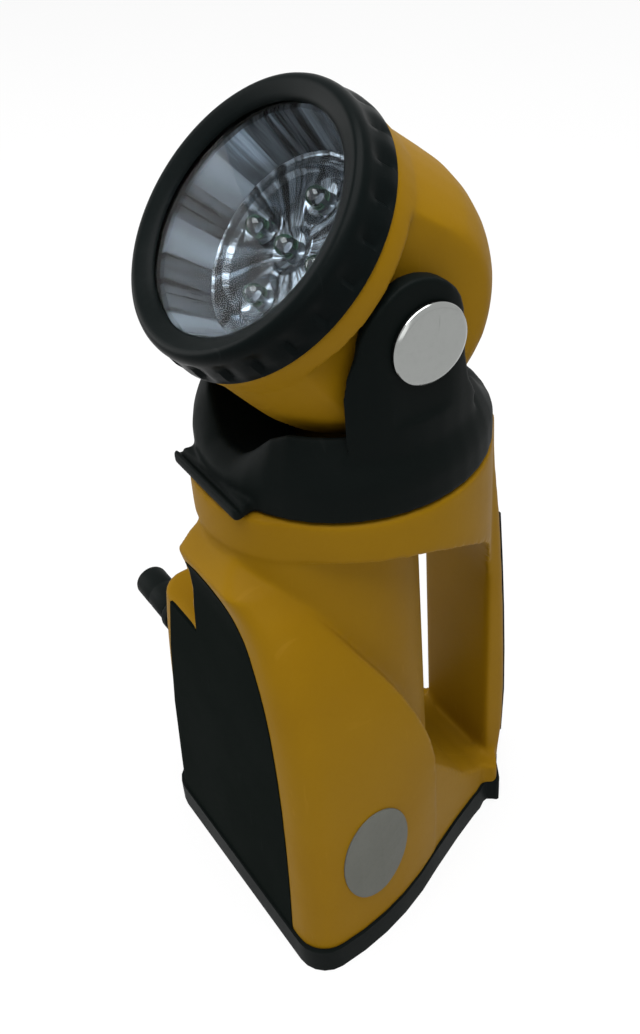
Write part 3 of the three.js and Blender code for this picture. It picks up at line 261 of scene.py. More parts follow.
def add_bump(tree, shader, height, strength, distance):
    """A height makes the surface look uneven, up to a distance in metres."""
    bump = tree.nodes.new("ShaderNodeBump")
    bump.inputs["Strength"].default_value = strength
    bump.inputs["Distance"].default_value = distance
    tree.links.new(height, bump.inputs["Height"])
    tree.links.new(bump.outputs["Normal"], shader.inputs["Normal"])


def scaled(colour, share, lift=0.0):
    """A colour made darker or lighter, as a shader takes it."""
    return (*[part * share + lift for part in colour], 1)


def plastic(name, colour, dull, roughness, grains=1500.0, depth=0.02 * mm, drifting=0.35, scuffed=0.4,
            dusty=0.25, specular=0.4, scuff_colour=None):
    """Moulded plastic: grain, uneven colour, scuffs that rub it pale and smoother, and dust on top."""
    drift_rougher = 0.25
    scuff_rougher = -0.12
    dust_rougher = 0.3
    grain_strength = 0.5
    material, tree, shader, place = start_material(name, colour, roughness, specular=specular)
    drifted = place_group(tree, drift, place, Amount=drifting, Colour=(*colour, 1), Dull_Colour=(*dull, 1))
    marks = place_group(tree, scuffs, place, Amount=scuffed)
    dusted = place_group(tree, dust, place, Amount=dusty)
    pale = (*scuff_colour, 1) if scuff_colour else scaled(colour, share=1.35, lift=0.012)
    rubbed = blend_colour(tree, marks["Mask"], drifted["Colour"], pale)
    final = blend_colour(tree, dusted["Mask"], rubbed, scaled(colour, share=0.7, lift=0.05))
    tree.links.new(final, shader.inputs["Base Color"])
    vary_roughness(tree, shader, roughness, (drifted["Mask"], drift_rougher),
                   (marks["Mask"], scuff_rougher), (dusted["Mask"], dust_rougher))
    grained = place_group(tree, grain, place, Grains=grains)
    add_bump(tree, shader, grained["Height"], grain_strength, depth)
    return material


def metal(name, colour, roughness, brushed=(40.0, 900.0, 900.0), scratched=0.5):
    """Metal with fine drawn lines and a few scratches."""
    line_rougher = 0.15
    scratch_rougher = 0.2
    scratch_height = -1.5
    line_strength = 0.4
    line_depth = 0.006 * mm
    drifting = 0.3
    material, tree, shader, place = start_material(name, colour, roughness, metallic=1.0)
    lines = noise_node(tree, mapped(tree, place, stretch=brushed), 1.0, detail=3.0, roughness=0.6)
    marks = place_group(tree, scuffs, place, Amount=scratched)
    duller = scaled(colour, share=0.7)
    scratched_colour = scaled(colour, share=0.6)
    drifted = place_group(tree, drift, place, Amount=drifting, Colour=(*colour, 1), Dull_Colour=duller)
    final = blend_colour(tree, marks["Mask"], drifted["Colour"], scratched_colour)
    tree.links.new(final, shader.inputs["Base Color"])
    vary_roughness(tree, shader, roughness, (lines, line_rougher), (marks["Mask"], scratch_rougher))
    height = math_node(tree, "ADD", lines, math_node(tree, "MULTIPLY", marks["Mask"], scratch_height))
    add_bump(tree, shader, height, line_strength, line_depth)
    return material


def mirror_plating(name, dark, bright, streaks, metallic=0.5, ripples=60.0, ripple_depth=0.06 * mm):
    """Metallised plastic, a little bluish, with small ripples, its colour streaked between a dark and a
    bright tone that paint in reflected light and shade.
    """
    tint_shares = (0.8, 0.94, 1.08)
    finer = 5
    fine_share = 0.2
    ripple_strength = 0.35
    material, tree, shader, place = start_material(
        name, scaled(tint_shares, bright)[:3], roughness=0.1, metallic=metallic, specular=0.2)
    # The streaked tones are painted reflection: reflected light and shade put into the colour.
    tones = place_group(tree, painted_reflection_streaks, place, Streaks=streaks)
    tone = blend_colour(tree, tones["Tone"], scaled(tint_shares, dark), scaled(tint_shares, bright))
    tree.links.new(tone, shader.inputs["Base Color"])
    fine = math_node(tree, "MULTIPLY", noise_node(tree, place, ripples * finer), fine_share)
    ripple = math_node(tree, "ADD", noise_node(tree, place, ripples), fine)
    add_bump(tree, shader, ripple, ripple_strength, ripple_depth)
    return material


def clear_plastic(name, tint, roughness, ior):
    """Clear plastic with faint polishing marks."""
    marked = 0.4
    mark_rougher = 0.25
    material, tree, shader, place = start_material(name, tint, roughness)
    shader.inputs["Transmission Weight"].default_value = 1.0
    shader.inputs["IOR"].default_value = ior
    marks = place_group(tree, scuffs, place, Amount=marked)
    vary_roughness(tree, shader, roughness, (marks["Mask"], mark_rougher))
    return material


# Plastics that show outside
yellow = plastic(
    "yellow_moulding", colour=(0.198, 0.105, 0.0022), dull=(0.16, 0.077, 0.0018), roughness=0.5,
    drifting=0.3, scuffed=0.2, dusty=0.05, specular=0.04)
black = plastic(
    "black_moulding", colour=(0.002, 0.0034, 0.0031), dull=(0.0038, 0.0053, 0.0049), roughness=0.5,
    drifting=0.5, scuffed=0.25, dusty=0.02, specular=0.035, scuff_colour=(0.011, 0.013, 0.012))
bezel_black = plastic(
    "bezel_moulding", colour=(0.0017, 0.003, 0.003), dull=(0.0034, 0.005, 0.005), roughness=0.3,
    drifting=0.5, scuffed=0.25, dusty=0.02, specular=0.03, scuff_colour=(0.011, 0.013, 0.013))
panel_black = plastic(
    "panel_sheet", colour=(0.0018, 0.0034, 0.0027), dull=(0.0036, 0.0052, 0.0045), roughness=0.62,
    grains=2200.0, depth=0.03 * mm, drifting=0.6, scuffed=0.3, dusty=0.01, specular=0.006,
    scuff_colour=(0.01, 0.013, 0.012))
soft_rubber = plastic(
    "soft_rubber", colour=(0.003, 0.0042, 0.004), dull=(0.006, 0.007, 0.0065), roughness=0.75,
    grains=1100.0, depth=0.04 * mm, dusty=0.04, specular=0.04)
plate_grey = plastic(
    "pale_plate", colour=(0.098, 0.1, 0.087), dull=(0.074, 0.076, 0.065), roughness=0.42,
    grains=700.0, drifting=0.5, scuffed=0.5, dusty=0.08, specular=0.12)

# Plastics inside
grey_plastic = plastic(
    "grey_moulding", colour=(0.2, 0.2, 0.185), dull=(0.15, 0.15, 0.14), roughness=0.45)
white_gear = plastic(
    "natural_gear_plastic", colour=(0.5, 0.48, 0.42), dull=(0.4, 0.38, 0.3), roughness=0.5)
board_green = plastic(
    "coated_board", colour=(0.02, 0.09, 0.045), dull=(0.012, 0.05, 0.03), roughness=0.35, grains=500.0)
sleeve_blue = plastic(
    "shrink_sleeve", colour=(0.03, 0.08, 0.2), dull=(0.02, 0.05, 0.14), roughness=0.3, grains=300.0)
magnet_grey = plastic(
    "sintered_magnet", colour=(0.04, 0.04, 0.045), dull=(0.025, 0.025, 0.03), roughness=0.5, grains=3000.0)

# Metals
chrome = metal(
    "chrome_plate", colour=(0.3, 0.31, 0.3), roughness=0.1, brushed=(300.0, 300.0, 300.0), scratched=0.7)
steel = metal("zinc_steel", colour=(0.32, 0.33, 0.34), roughness=0.3)
brass = metal("machined_brass", colour=(0.4, 0.28, 0.09), roughness=0.28)

# Plating of the reflector, with painted reflection: three tones of painted reflected light and shade for the
# flats of its wall, and one streaked tone for its floor
painted_dark_mirror = mirror_plating("mirror_wall_painted_dark", dark=0.008, bright=0.12, streaks=14.0)
mirror = mirror_plating("mirror_wall", dark=0.1, bright=0.28, streaks=5.0)
painted_bright_mirror = mirror_plating("mirror_wall_painted_bright", dark=0.2, bright=0.42, streaks=2.5)
mirror_floor = mirror_plating(
    "mirror_floor", dark=0.015, bright=0.2, streaks=9.0, metallic=0.8, ripples=230.0, ripple_depth=0.4 * mm)

# Clear plastics: the lens bends light less than real plastic does, so that the reflector reads through it
lens_clear = clear_plastic("lens_plastic", tint=(0.97, 0.99, 1.0), roughness=0.01, ior=1.08)
lamp_clear = clear_plastic("lamp_resin", tint=(0.95, 0.97, 1.0), roughness=0.02, ior=1.45)

slot_looks = {
    "yellow": yellow, "black": black, "rubber": soft_rubber, "chrome": chrome, "mirror": mirror,
    "lens": lens_clear, "steel": steel, "brass": brass, "white": white_gear, "grey": grey_plastic,
    "green": board_green, "blue": sleeve_blue, "lamp": lamp_clear, "magnet": magnet_grey,
}


# Mesh helpers
def crease_by_angle(mesh, degrees):
    """Faces that meet at more than this angle keep a sharp edge."""
    bm = bmesh.new()
    bm.from_mesh(mesh)
    for edge in bm.edges:
        edge.smooth = len(edge.link_faces) == 2 and edge.calc_face_angle(0) < math.radians(degrees)
    bm.to_mesh(mesh)
    bm.free()


def finish_piece(name, mesh, look, body, slot, nodes=(), smooth=True, crease=None):
    """A mesh becomes a piece that rides on a body, in place of the named parts."""
    mesh.materials.clear()
    mesh.materials.append(look)
    for face in mesh.polygons:
        face.use_smooth = smooth
    piece = bpy.data.objects.new(name, mesh)
    bpy.context.collection.objects.link(piece)
    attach(piece, body)
    if nodes:
        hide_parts(*nodes)
    if crease is not None:
        crease_by_angle(mesh, crease)


def mesh_of(bm, name, place=None, outward=True):
    """A bmesh becomes a mesh, moved to its place."""
    if outward:
        bmesh.ops.recalc_face_normals(bm, faces=bm.faces)
    if place is not None:
        bm.transform(place)
    mesh = bpy.data.meshes.new(name)
    bm.to_mesh(mesh)
    bm.free()
    return mesh


def spun(profile, steps):
    """A turned body about Z from a closed profile of (radius, height) in millimetres."""
    off_axis = 1e-7
    join_within = 1e-6
    bm = bmesh.new()
    ring = [bm.verts.new((radius * mm, 0, height * mm)) for radius, height in profile]
    edges = [bm.edges.new((a, b)) for a, b in zip(ring, ring[1:] + ring[:1])
             if a.co.x > off_axis or b.co.x > off_axis]
    bmesh.ops.spin(bm, geom=ring + edges, cent=(0, 0, 0), axis=upward, angle=full_turn, steps=steps,
                   use_merge=True, use_duplicate=False)
    bmesh.ops.remove_doubles(bm, verts=bm.verts, dist=join_within)
    return bm


def turned_piece(name, profile, place, *finish, steps, **options):
    """A piece turned from its profile, finished as finish_piece takes it."""
    finish_piece(name, mesh_of(spun(profile, steps), name, place), *finish, **options)


def slice_mesh(bm, point, direction, **options):
    """Cut every face that crosses a plane."""
    bmesh.ops.bisect_plane(
        bm, geom=bm.verts[:] + bm.edges[:] + bm.faces[:], plane_co=point, plane_no=direction, **options)


def with_modifier(mesh, kind, weights=None, **values):
    """A mesh with one modifier applied, held back where a vertex's weight is low."""
    piece = bpy.data.objects.new("work", mesh)
    bpy.context.collection.objects.link(piece)
    modifier = piece.modifiers.new("work", kind)
    for name, value in values.items():
        setattr(modifier, name, value)
    if weights is not None:
        group = piece.vertex_groups.new(name="free")
        for index, weight in enumerate(weights):
            group.add([index], weight, "REPLACE")
        modifier.vertex_group = "free"
    made = bpy.data.meshes.new_from_object(piece.evaluated_get(bpy.context.evaluated_depsgraph_get()))
    bpy.data.objects.remove(piece)
    return made


def copy_of(node):
    """The part's own mesh as a bmesh, with its corners joined."""
    join_within = 2e-6
    bm = bmesh.new()
    bm.from_mesh(frame["nodes"][node].data)
    bmesh.ops.remove_doubles(bm, verts=bm.verts, dist=join_within)
    return bm


def is_sharp(edge, degrees):
    """Whether two faces meet here at more than this angle."""
    return len(edge.link_faces) == 2 and edge.calc_face_angle(0) > math.radians(degrees)


def bevelled(name, node, width, shift=(0, 0, 0)):
    """A copy of a part with its sharp edges rounded."""
    flat_within = math.radians(1.0)
    sharp_degrees = 35
    bm = copy_of(node)
    bmesh.ops.dissolve_limit(bm, angle_limit=flat_within, verts=bm.verts, edges=bm.edges)
    edges = [edge for edge in bm.edges if is_sharp(edge, sharp_degrees)]
    bmesh.ops.bevel(bm, geom=edges, offset=width, offset_type="OFFSET", affect="EDGES", segments=4,
                    profile=0.5, material=-1, clamp_overlap=True)
    mesh = mesh_of(bm, name, Matrix.Translation(shift), outward=False)
    for face in mesh.polygons:
        face.use_smooth = True
    return with_modifier(mesh, "WEIGHTED_NORMAL", keep_sharp=False)


def edge_points(node, step):
    """Points along the sharp edges of a part, a step apart."""
    sharp_degrees = 28
    bm = copy_of(node)
    points = []
    for edge in bm.edges:
        if is_sharp(edge, sharp_degrees):
            a, b = (vert.co for vert in edge.verts)
            count = max(1, int((b - a).length / step))
            points += [a.lerp(b, i / count) for i in range(count + 1)]
    bm.free()
    return points


def tree_of(points):
    """A search tree over points."""
    tree = kdtree.KDTree(len(points))
    for index, point in enumerate(points):
        tree.insert(point, index)
    tree.balance()
    return tree


def freedom(place, edges, hold, least, soft_spots):
    """How freely a point is relaxed: least on a sharp edge, and fully from the hold distance on."""
    share = min(edges.find(place)[2] / hold, 1.0)
    near = [1 - (place - Vector(spot)).length / reach for spot, reach in soft_spots]
    return max(least + (1 - least) * share * share, *near, 0)


def softened(node, voxel, rounds, hold, least=0.3, plugs=None, free_near=(), soft_spots=()):
    """A smooth copy of a part: remeshed evenly, then relaxed, least near the part's own sharp edges."""
    free_within = 1.5 * mm
    points = edge_points(node, voxel)
    for other in free_near:
        near = tree_of(edge_points(other, voxel))
        points = [point for point in points if near.find(point)[2] > free_within]
    bm = copy_of(node)
    if plugs:
        plugs(bm)
    mesh = mesh_of(bm, "work", outward=False)
    mesh = with_modifier(mesh, "REMESH", mode="VOXEL", voxel_size=voxel, adaptivity=0.0)
    edges = tree_of(points)
    weights = [freedom(vert.co, edges, hold, least, soft_spots) for vert in mesh.vertices]
    mesh = with_modifier(mesh, "SMOOTH", weights, factor=0.5, iterations=rounds)
    bm = bmesh.new()
    bm.from_mesh(mesh)
    bmesh.ops.smooth_vert(bm, verts=bm.verts, factor=0.5, use_axis_x=True, use_axis_y=True, use_axis_z=True)
    return bm


def soft_piece(name, node, look, body, slot, **shape):
    """A smooth copy of a part takes that part's place."""
    finish_piece(name, mesh_of(softened(node, **shape), name, outward=False), look, body, slot, [node])


def keep_island(bm, start):
    """Only what is joined to the vertex nearest the start stays."""
    first = min(bm.verts, key=lambda vert: (vert.co - start).length)
    reached = {first}
    newest = [first]
    while newest:
        step = []
        for vert in newest:
            for edge in vert.link_edges:
                other = edge.other_vert(vert)
                if other not in reached:
                    reached.add(other)
                    step.append(other)
        newest = step
    bmesh.ops.delete(bm, geom=[vert for vert in bm.verts if vert not in reached], context="VERTS")


# Body
def add_tube(bm, radius, length, place):
    """A round bar, in millimetres, with its middle at the place."""
    bmesh.ops.create_cone(bm, cap_ends=True, segments=48, radius1=radius * mm, radius2=radius * mm,
                          depth=length * mm, matrix=place)


def add_brick(bm, low, high):
    """A block between two corners, in millimetres."""
    size = [(b - a) * mm for a, b in zip(low, high)]
    middle = [(b + a) * mm / 2 for a, b in zip(low, high)]
    bmesh.ops.create_cube(bm, size=1.0, matrix=Matrix.Translation(middle) @ Matrix.Diagonal((*size, 1)))


def add_filler(bm, node, grow, shift=(0, 0, 0)):
    """The part that sits in a hollow of the shell fills it, resized a little so that it ends flush."""
    copy = copy_of(node)
    low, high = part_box(node)
    middle = (Vector(low) + Vector(high)) / 2
    copy.transform(Matrix.Translation(middle + Vector(shift)) @ Matrix.Diagonal((*grow, 1))
                   @ Matrix.Translation(-middle))
    mesh = mesh_of(copy, "filler", outward=False)
    bm.from_mesh(mesh)
    bpy.data.meshes.remove(mesh)


def shell_plugs(bm):
    """Simple solids that fill the shell's inside, so that only its outer skin is kept."""
    column_radius = 27.3
    column_length = 143
    column_middle = (0, -12.45, 75)
    neck_radius = 21.5
    neck_length = 10
    neck_middle = (0, 0, 144)
    block_corners = ((-33, -42.5, 4), (33, -14, 88))
    button_corners = ((-9, 26, 131), (9, 36.2, 145))
    bore_radius = 6
    bore_length = 18
    bore_middle = (-31, *crank_axis[1:])
    boss_radius = 3.6
    boss_length = 12
    boss_height = 11
    boss_places = ((37.7, -41.7), (-37.7, -41.7), (13.4, 31.85), (-13.4, 31.85))
    add_tube(bm, column_radius, column_length, moved(*column_middle))
    add_tube(bm, neck_radius, neck_length, moved(*neck_middle))
    add_brick(bm, *block_corners)
    add_brick(bm, *button_corners)
    add_tube(bm, bore_radius, bore_length, moved(*bore_middle) @ Matrix.Rotation(quarter_turn, 4, "Y"))
    for x, y in boss_places:
        add_tube(bm, boss_radius, boss_length, moved(x, y, boss_height))
    add_filler(bm, "base_plate", grow=(0.968, 0.968, 1), shift=(0, 0, 1.6 * mm))
    add_filler(bm, "front_panel", grow=(1.014, 1, 1.008))
    add_filler(bm, "handle_grip", grow=(1.04, 1, 1.008), shift=(0, -0.7 * mm, 0))


def make_shell():
    """Outer skin of the shell, open below, where the base tray hides its edge."""
    skin_start = Vector((0, 30 * mm, 150.2 * mm))
    skin_bottom = 9 * mm
    panel_corner = (-11.2 * mm, -46 * mm, 129.5 * mm)
    corner_reach = 11 * mm
    bm = softened("body_shell", voxel=0.8 * mm, rounds=40, hold=2.2 * mm, least=0.2, plugs=shell_plugs,
                  free_near=("front_panel", "handle_grip"), soft_spots=[(panel_corner, corner_reach)])
    keep_island(bm, skin_start)
    slice_mesh(bm, (0, 0, skin_bottom), upward, clear_inner=True)
    mesh = mesh_of(bm, "shell_skin", outward=False)
    finish_piece("shell_skin", mesh, yellow, "base", "yellow", ["body_shell"])


def make_base():
    """Base tray, with its edges rounded."""
    mesh = bevelled("base_tray", "base_plate", width=0.7 * mm)
    finish_piece("base_tray", mesh, black, "base", "black", ["base_plate"])


def make_screws():
    """Base screws: round head with a dimple for the driver, and a short shank."""
    head_tall = 1.3
    head_round = 0.4
    shank_radius = 1.4
    dimple = [(0, 0.8), (1.0, 0.6), (1.2, 0.15)]
    for index in range(1, 5):
        node = f"base_screw_{index}"
        low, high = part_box(node)
        head = (high[0] - low[0]) / 2 / mm
        tall = (high[2] - low[2]) / mm / 2
        profile = [*dimple, (head - head_round, 0), (head, head_round), (head, head_tall),
                   (shank_radius, head_tall), (shank_radius, tall), (0, tall)]
        place = Matrix.Translation(((low[0] + high[0]) / 2, (low[1] + high[1]) / 2, low[2]))
        turned_piece(f"screw_{index}", profile, place, steel, "base", "steel", [node], steps=32, crease=30)


def make_panel():
    """Front panel, set a little further out than its part."""
    mesh = bevelled("panel_sheet", "front_panel", width=0.35 * mm, shift=(-0.05 * mm, -0.25 * mm, 0))
    finish_piece("panel_sheet", mesh, panel_black, "base", "black", ["front_panel"])


def make_grip():
    """Rubber strip with level ridges, and sloped grooves between them."""
    pitch = 3.2 * mm
    first_groove = 2.4 * mm
    groove_lines = (0, 0.3 * mm, 0.9 * mm, 1.2 * mm)
    groove_deep = 0.55 * mm
    groove_side = 11.5 * mm
    slack = 0.1 * mm
    touching = 1e-6
    backward = 0.5
    bm = copy_of("handle_grip")
    low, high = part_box("handle_grip")
    floors = []
    start = low[2] + first_groove
    while start < high[2] - pitch:
        lines = [start + line for line in groove_lines]
        floors.append((lines[1] - touching, lines[2] + touching))
        for height in lines:
            slice_mesh(bm, (0, 0, height), upward)
        start += pitch
    for side in (-1, 1):
        slice_mesh(bm, (side * groove_side, 0, 0), (1, 0, 0))
    for vert in bm.verts:
        outer = any(face.normal.y > backward for face in vert.link_faces)
        in_floor = any(a < vert.co.z < b for a, b in floors)
        if outer and in_floor and abs(vert.co.x) < groove_side + slack:
            vert.co.y -= groove_deep
    mesh = mesh_of(bm, "grip_strip", outward=False)
    finish_piece("grip_strip", mesh, soft_rubber, "base", "rubber", ["handle_grip"], crease=30)


def button_bars(bm):
    """Three raised bars for the thumb."""
    bar_size = (8 * mm, 1.2 * mm, 1.1 * mm)
    bar_pitch = 2.4 * mm
    low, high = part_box("switch_button")
    for step in (-1, 0, 1):
        middle = ((low[0] + high[0]) / 2, high[1], (low[2] + high[2]) / 2 + step * bar_pitch)
        place = Matrix.Translation(middle) @ Matrix.Diagonal((*bar_size, 1))
        bmesh.ops.create_cube(bm, size=1.0, matrix=place)


def make_button():
    """Switch button on the back of the neck."""
    soft_piece("button_cap", "switch_button", soft_rubber, "button", "rubber",
               voxel=0.25 * mm, rounds=10, hold=0.5 * mm, plugs=button_bars)


# Yoke
def make_yoke():
    """Yoke collar with its arms and thumb tab."""
    soft_piece("yoke_moulding", "yoke_collar", black, "yoke", "black",
               voxel=0.5 * mm, rounds=40, hold=1.8 * mm)


def make_caps():
    """Chrome caps: flat disc, bevelled rim, thin edge."""
    profile = [(0, 0.02), (9.6, 0.02), (10, 0.3), (10, 0.95), (9.85, 1.2), (9.25, 1.6), (8.9, 1.75),
               (8.5, 1.8), (0, 1.8)]
    for side, sign in (("left", -1), ("right", 1)):
        place = moved(sign * cap_side, *head_pivot[1:]) @ Matrix.Rotation(sign * quarter_turn, 4, "Y")
        turned_piece(f"cap_{side}", profile, place, chrome, "yoke", "chrome", [f"pivot_cap_{side}"],
                     steps=96, crease=20)


# Head, in its own frame: millimetres from its pivot, along its axis
floor_height = 18.0
plate_height = floor_height - 0.8
lamp_base = 14.8
lamp_ring = 13
lamp_places = [(0, 0)] + [
    (lamp_ring * math.cos(i * quarter_turn), lamp_ring * math.sin(i * quarter_turn)) for i in range(4)]


def make_housing():
    """Head housing: dome behind and band in front."""
    soft_piece("head_skin", "head_housing", yellow, "head", "yellow",
               voxel=0.65 * mm, rounds=40, hold=1.6 * mm)


def clamped(value):
    """The value, kept between 0 and 1."""
    return min(max(value, 0), 1)


def cut_dents(bm, dents):
    """Grip dents round the bezel, each deep at its steep end and fading out along the ring."""
    dent_deep = 1.45 * mm
    least_radius = 34.6 * mm
    steep_share = 0.02
    long_share = 0.6
    rear = 26.0
    rear_fade = 1.2
    front = 33.2
    front_fade = 3.5
    for vert in bm.verts:
        x, y, z = vert.co
        radius = math.hypot(x, y)
        if radius < least_radius:
            continue
        turn = (math.atan2(y, x) / full_turn * dents) % 1.0
        around = max(0.0, 1 - turn / long_share) if turn > steep_share else 0.0
        along = clamped((z / mm - rear) / rear_fade) * clamped((front - z / mm) / front_fade)
        shrink = 1 - dent_deep * around * along / radius
        vert.co = (x * shrink, y * shrink, z)


def make_bezel():
    """Bezel ring with sharp-sided grip dents behind a rolled front edge."""
    dents = 24
    steps_each = 8
    outside = [(33.7, 25.4), (35.5, 25.4), (35.8, 25.6), (35.8, 26.4), (35.78, 27.2), (35.7, 28), (35.5, 29),
               (35.25, 30), (35.05, 31), (34.9, 32), (34.85, 33), (34.75, 33.8), (34.5, 34.7)]
    rolled_edge = [(34.05, 35.5), (33.4, 36.05), (32.6, 36.2), (31.7, 35.95), (30.6, 35.5), (29.6, 35.1),
                   (28.7, 34.6), (28.25, 34.1), (28.2, 33.75)]
    lens_seat = [(31.3, 33.7), (31.3, 30.7), (33.7, 30.7)]
    bm = spun(outside + rolled_edge + lens_seat, dents * steps_each)
    cut_dents(bm, dents)
    mesh = mesh_of(bm, "bezel_moulding", head_place)
    finish_piece("bezel_moulding", mesh, bezel_black, "head", "black", ["bezel_ring"], crease=38)


def make_lens():
    """Lens disc with a slightly domed front."""
    profile = [(0, 31.8), (30.9, 31.8), (31, 31.9), (31, 33.3), (30.8, 33.5), (24, 33.56), (12, 33.62),
               (0, 33.65)]
    turned_piece("lens_disc", profile, head_place, lens_clear, "head", "lens", ["lens"],
                 steps=96, crease=20)


def make_reflector_wall():
    """Flat-sided wall of the reflector, each flat in one of three tones of painted reflection."""
    profile = [(30.6, 29.3), (30.6, 30.3), (28.4, 30.3), (24.5, floor_height + 0.3),
               (24.9, floor_height - 0.4), (29.3, 29.3)]
    # Painted reflection: tone of each flat, given one by one for the reflected light and shade it shows: 0
    # dark, 1 middle, 2 bright
    painted_flat_tones = (1, 0, 1, 0, 1, 1, 0, 0, 1, 2, 0, 2, 0, 0, 1, 0, 1, 0, 1, 0)
    mesh = mesh_of(spun(profile, len(painted_flat_tones)), "reflector_wall", head_place)
    finish_piece("reflector_wall", mesh, painted_dark_mirror, "head", "mirror", ["reflector"], smooth=False)
    for look in (mirror, painted_bright_mirror):
        mesh.materials.append(look)
    for face in mesh.polygons:
        middle = head_place.inverted() @ face.center
        turn = math.atan2(middle.y, middle.x) / full_turn % 1.0
        face.material_index = painted_flat_tones[int(turn * len(painted_flat_tones))]


def make_reflector_ring():
    """Stepped ring between the wall and the lamp plate."""
    top = floor_height + 0.45
    bottom = floor_height - 1.5
    profile = [(24.9, bottom), (24.9, top - 0.2), (24.3, top), (23.9, floor_height + 0.1),
               (23.2, floor_height - 0.15), (21.9, floor_height - 0.1), (21.4, floor_height + 0.35),
               (20.8, floor_height + 0.4), (20.2, plate_height + 0.4), (19.7, plate_height), (19.7, bottom)]
    turned_piece("reflector_ring", profile, head_place, mirror_floor, "head", "mirror",
                 steps=120, crease=24)


def make_lamp_plate():
    """Flat plate inside the ring, with a round hole for each lamp's cup."""
    plate_radius = 19.8 * mm
    hole_radius = 5.8 * mm
    plate_thick = 0.5 * mm
    bm = bmesh.new()
    bmesh.ops.create_circle(bm, cap_ends=False, segments=72, radius=plate_radius)
    for x, y in lamp_places:
        bmesh.ops.create_circle(bm, cap_ends=False, segments=40, radius=hole_radius, matrix=moved(x, y, 0))
    bmesh.ops.triangle_fill(bm, use_beauty=True, use_dissolve=False, edges=bm.edges, normal=upward)
    made = bmesh.ops.extrude_face_region(bm, geom=bm.faces[:])
    verts = [item for item in made["geom"] if isinstance(item, bmesh.types.BMVert)]
    bmesh.ops.translate(bm, verts=verts, vec=(0, 0, -plate_thick))
    mesh = mesh_of(bm, "lamp_plate", head_place @ moved(0, 0, plate_height))
    finish_piece("lamp_plate", mesh, mirror_floor, "head", "mirror", smooth=False)


def make_lamp_cups():
    """Shallow cup with a raised rim round each lamp."""
    top = plate_height + 0.05
    inside = [(2.8, top - 1.3), (3.6, top - 1.2), (4.7, top - 0.8), (5.4, top - 0.3), (5.6, top)]
    rim = [(5.9, top + 0.18), (6.2, top), (6.2, top - 0.4)]
    underside = [(5.9, top - 0.6), (2.8, top - 1.6)]
    for index, (x, y) in enumerate(lamp_places):
        turned_piece(f"lamp_cup_{index + 1}", inside + rim + underside, head_place @ moved(x, y, 0),
                     mirror_floor, "head", "mirror", steps=40, crease=40)


def make_lamps():
    """Clear domed lamps, each with a small bright cup on its post inside."""
    low = lamp_base
    tall = 7.6
    radius = 2.5
    dome_steps = 8
    angles = [i * quarter_turn / dome_steps for i in range(dome_steps)]
    dome = [(radius * math.cos(angle), low + tall - radius + radius * math.sin(angle)) for angle in angles]
    flange = [(0, low), (2.85, low), (2.95, low + 0.1), (2.95, low + 0.85), (2.55, low + 1.0)]
    clear = [*flange, *dome, (0, low + tall)]
    post = [(0, low + 0.15), (2.3, low + 0.15), (2.3, low + 0.4), (0.45, low + 0.6), (0.45, low + 3.4),
            (0.8, low + 3.9), (0.85, low + 4.3), (0.4, low + 4.0), (0, low + 3.95)]
    for index, (x, y) in enumerate(lamp_places):
        number = index + 1
        place = head_place @ moved(x, y, 0)
        turned_piece(f"lamp_{number}", clear, place, lamp_clear, "head", "lamp", [f"led_{number}"],
                     steps=32)
        turned_piece(f"lamp_post_{number}", post, place, mirror, "head", "mirror", steps=20)


# Crank
def make_crank_arm():
    """Arm of the crank."""
    soft_piece("crank_moulding", "crank_arm", black, "crank", "black",
               voxel=0.3 * mm, rounds=12, hold=0.8 * mm)


def make_knob():
    """Knob with a rounded end, a shallow groove round its middle and a bore for its pin."""
    inner = -49.8
    outer = -68.0
    bore = 2.1
    bore_end = outer + 3.1
    end = [(0, outer + 0.5), (3.2, outer + 0.5), (3.6, outer + 0.1), (4.5, outer), (5.0, outer + 0.25),
           (5.2, outer + 0.8)]
    groove = [(5.2, -60), (5.05, -59.4), (5.05, -58.8), (5.2, -58.2)]
    root = [(5.2, inner - 0.9), (4.9, inner - 0.2), (4.4, inner), (bore, inner), (bore, bore_end),
            (0, bore_end)]
    place = crank_place @ moved(0, knob_reach, 0) @ Matrix.Rotation(quarter_turn, 4, "Y")
    turned_piece("knob_moulding", end + groove + root, place, black, "knob", "black", ["crank_knob"],
                 steps=48, crease=40)


def dress_parts():
    """Every part that still shows gets its own finish."""
    slots = {row["node"]: row["material_slot"] for row in frame["record"]["subparts"]}
    for name, part in frame["nodes"].items():
        look = plate_grey if name == "oval_plate" else slot_looks[slots[name]]
        for material_slot in part.material_slots:
            material_slot.material = look


# Studio
def seen_share(tree):
    """1 for rays of the camera, and for those that a lens or a mirror passes on, and 0 for all others."""
    path = tree.nodes.new("ShaderNodeLightPath").outputs
    seen = math_node(tree, "MAXIMUM", path["Is Camera Ray"], path["Is Transmission Ray"])
    return math_node(tree, "MAXIMUM", seen, path["Is Glossy Ray"])


def mix_surface(tree, share, a, b, output):
    """Two shaders, mixed by a share, become the surface."""
    mix = tree.nodes.new("ShaderNodeMixShader")
    for socket, value in zip(mix.inputs, (share, a, b)):
        tree.links.new(value, socket)
    tree.links.new(mix.outputs[0], tree.nodes[output].inputs["Surface"])


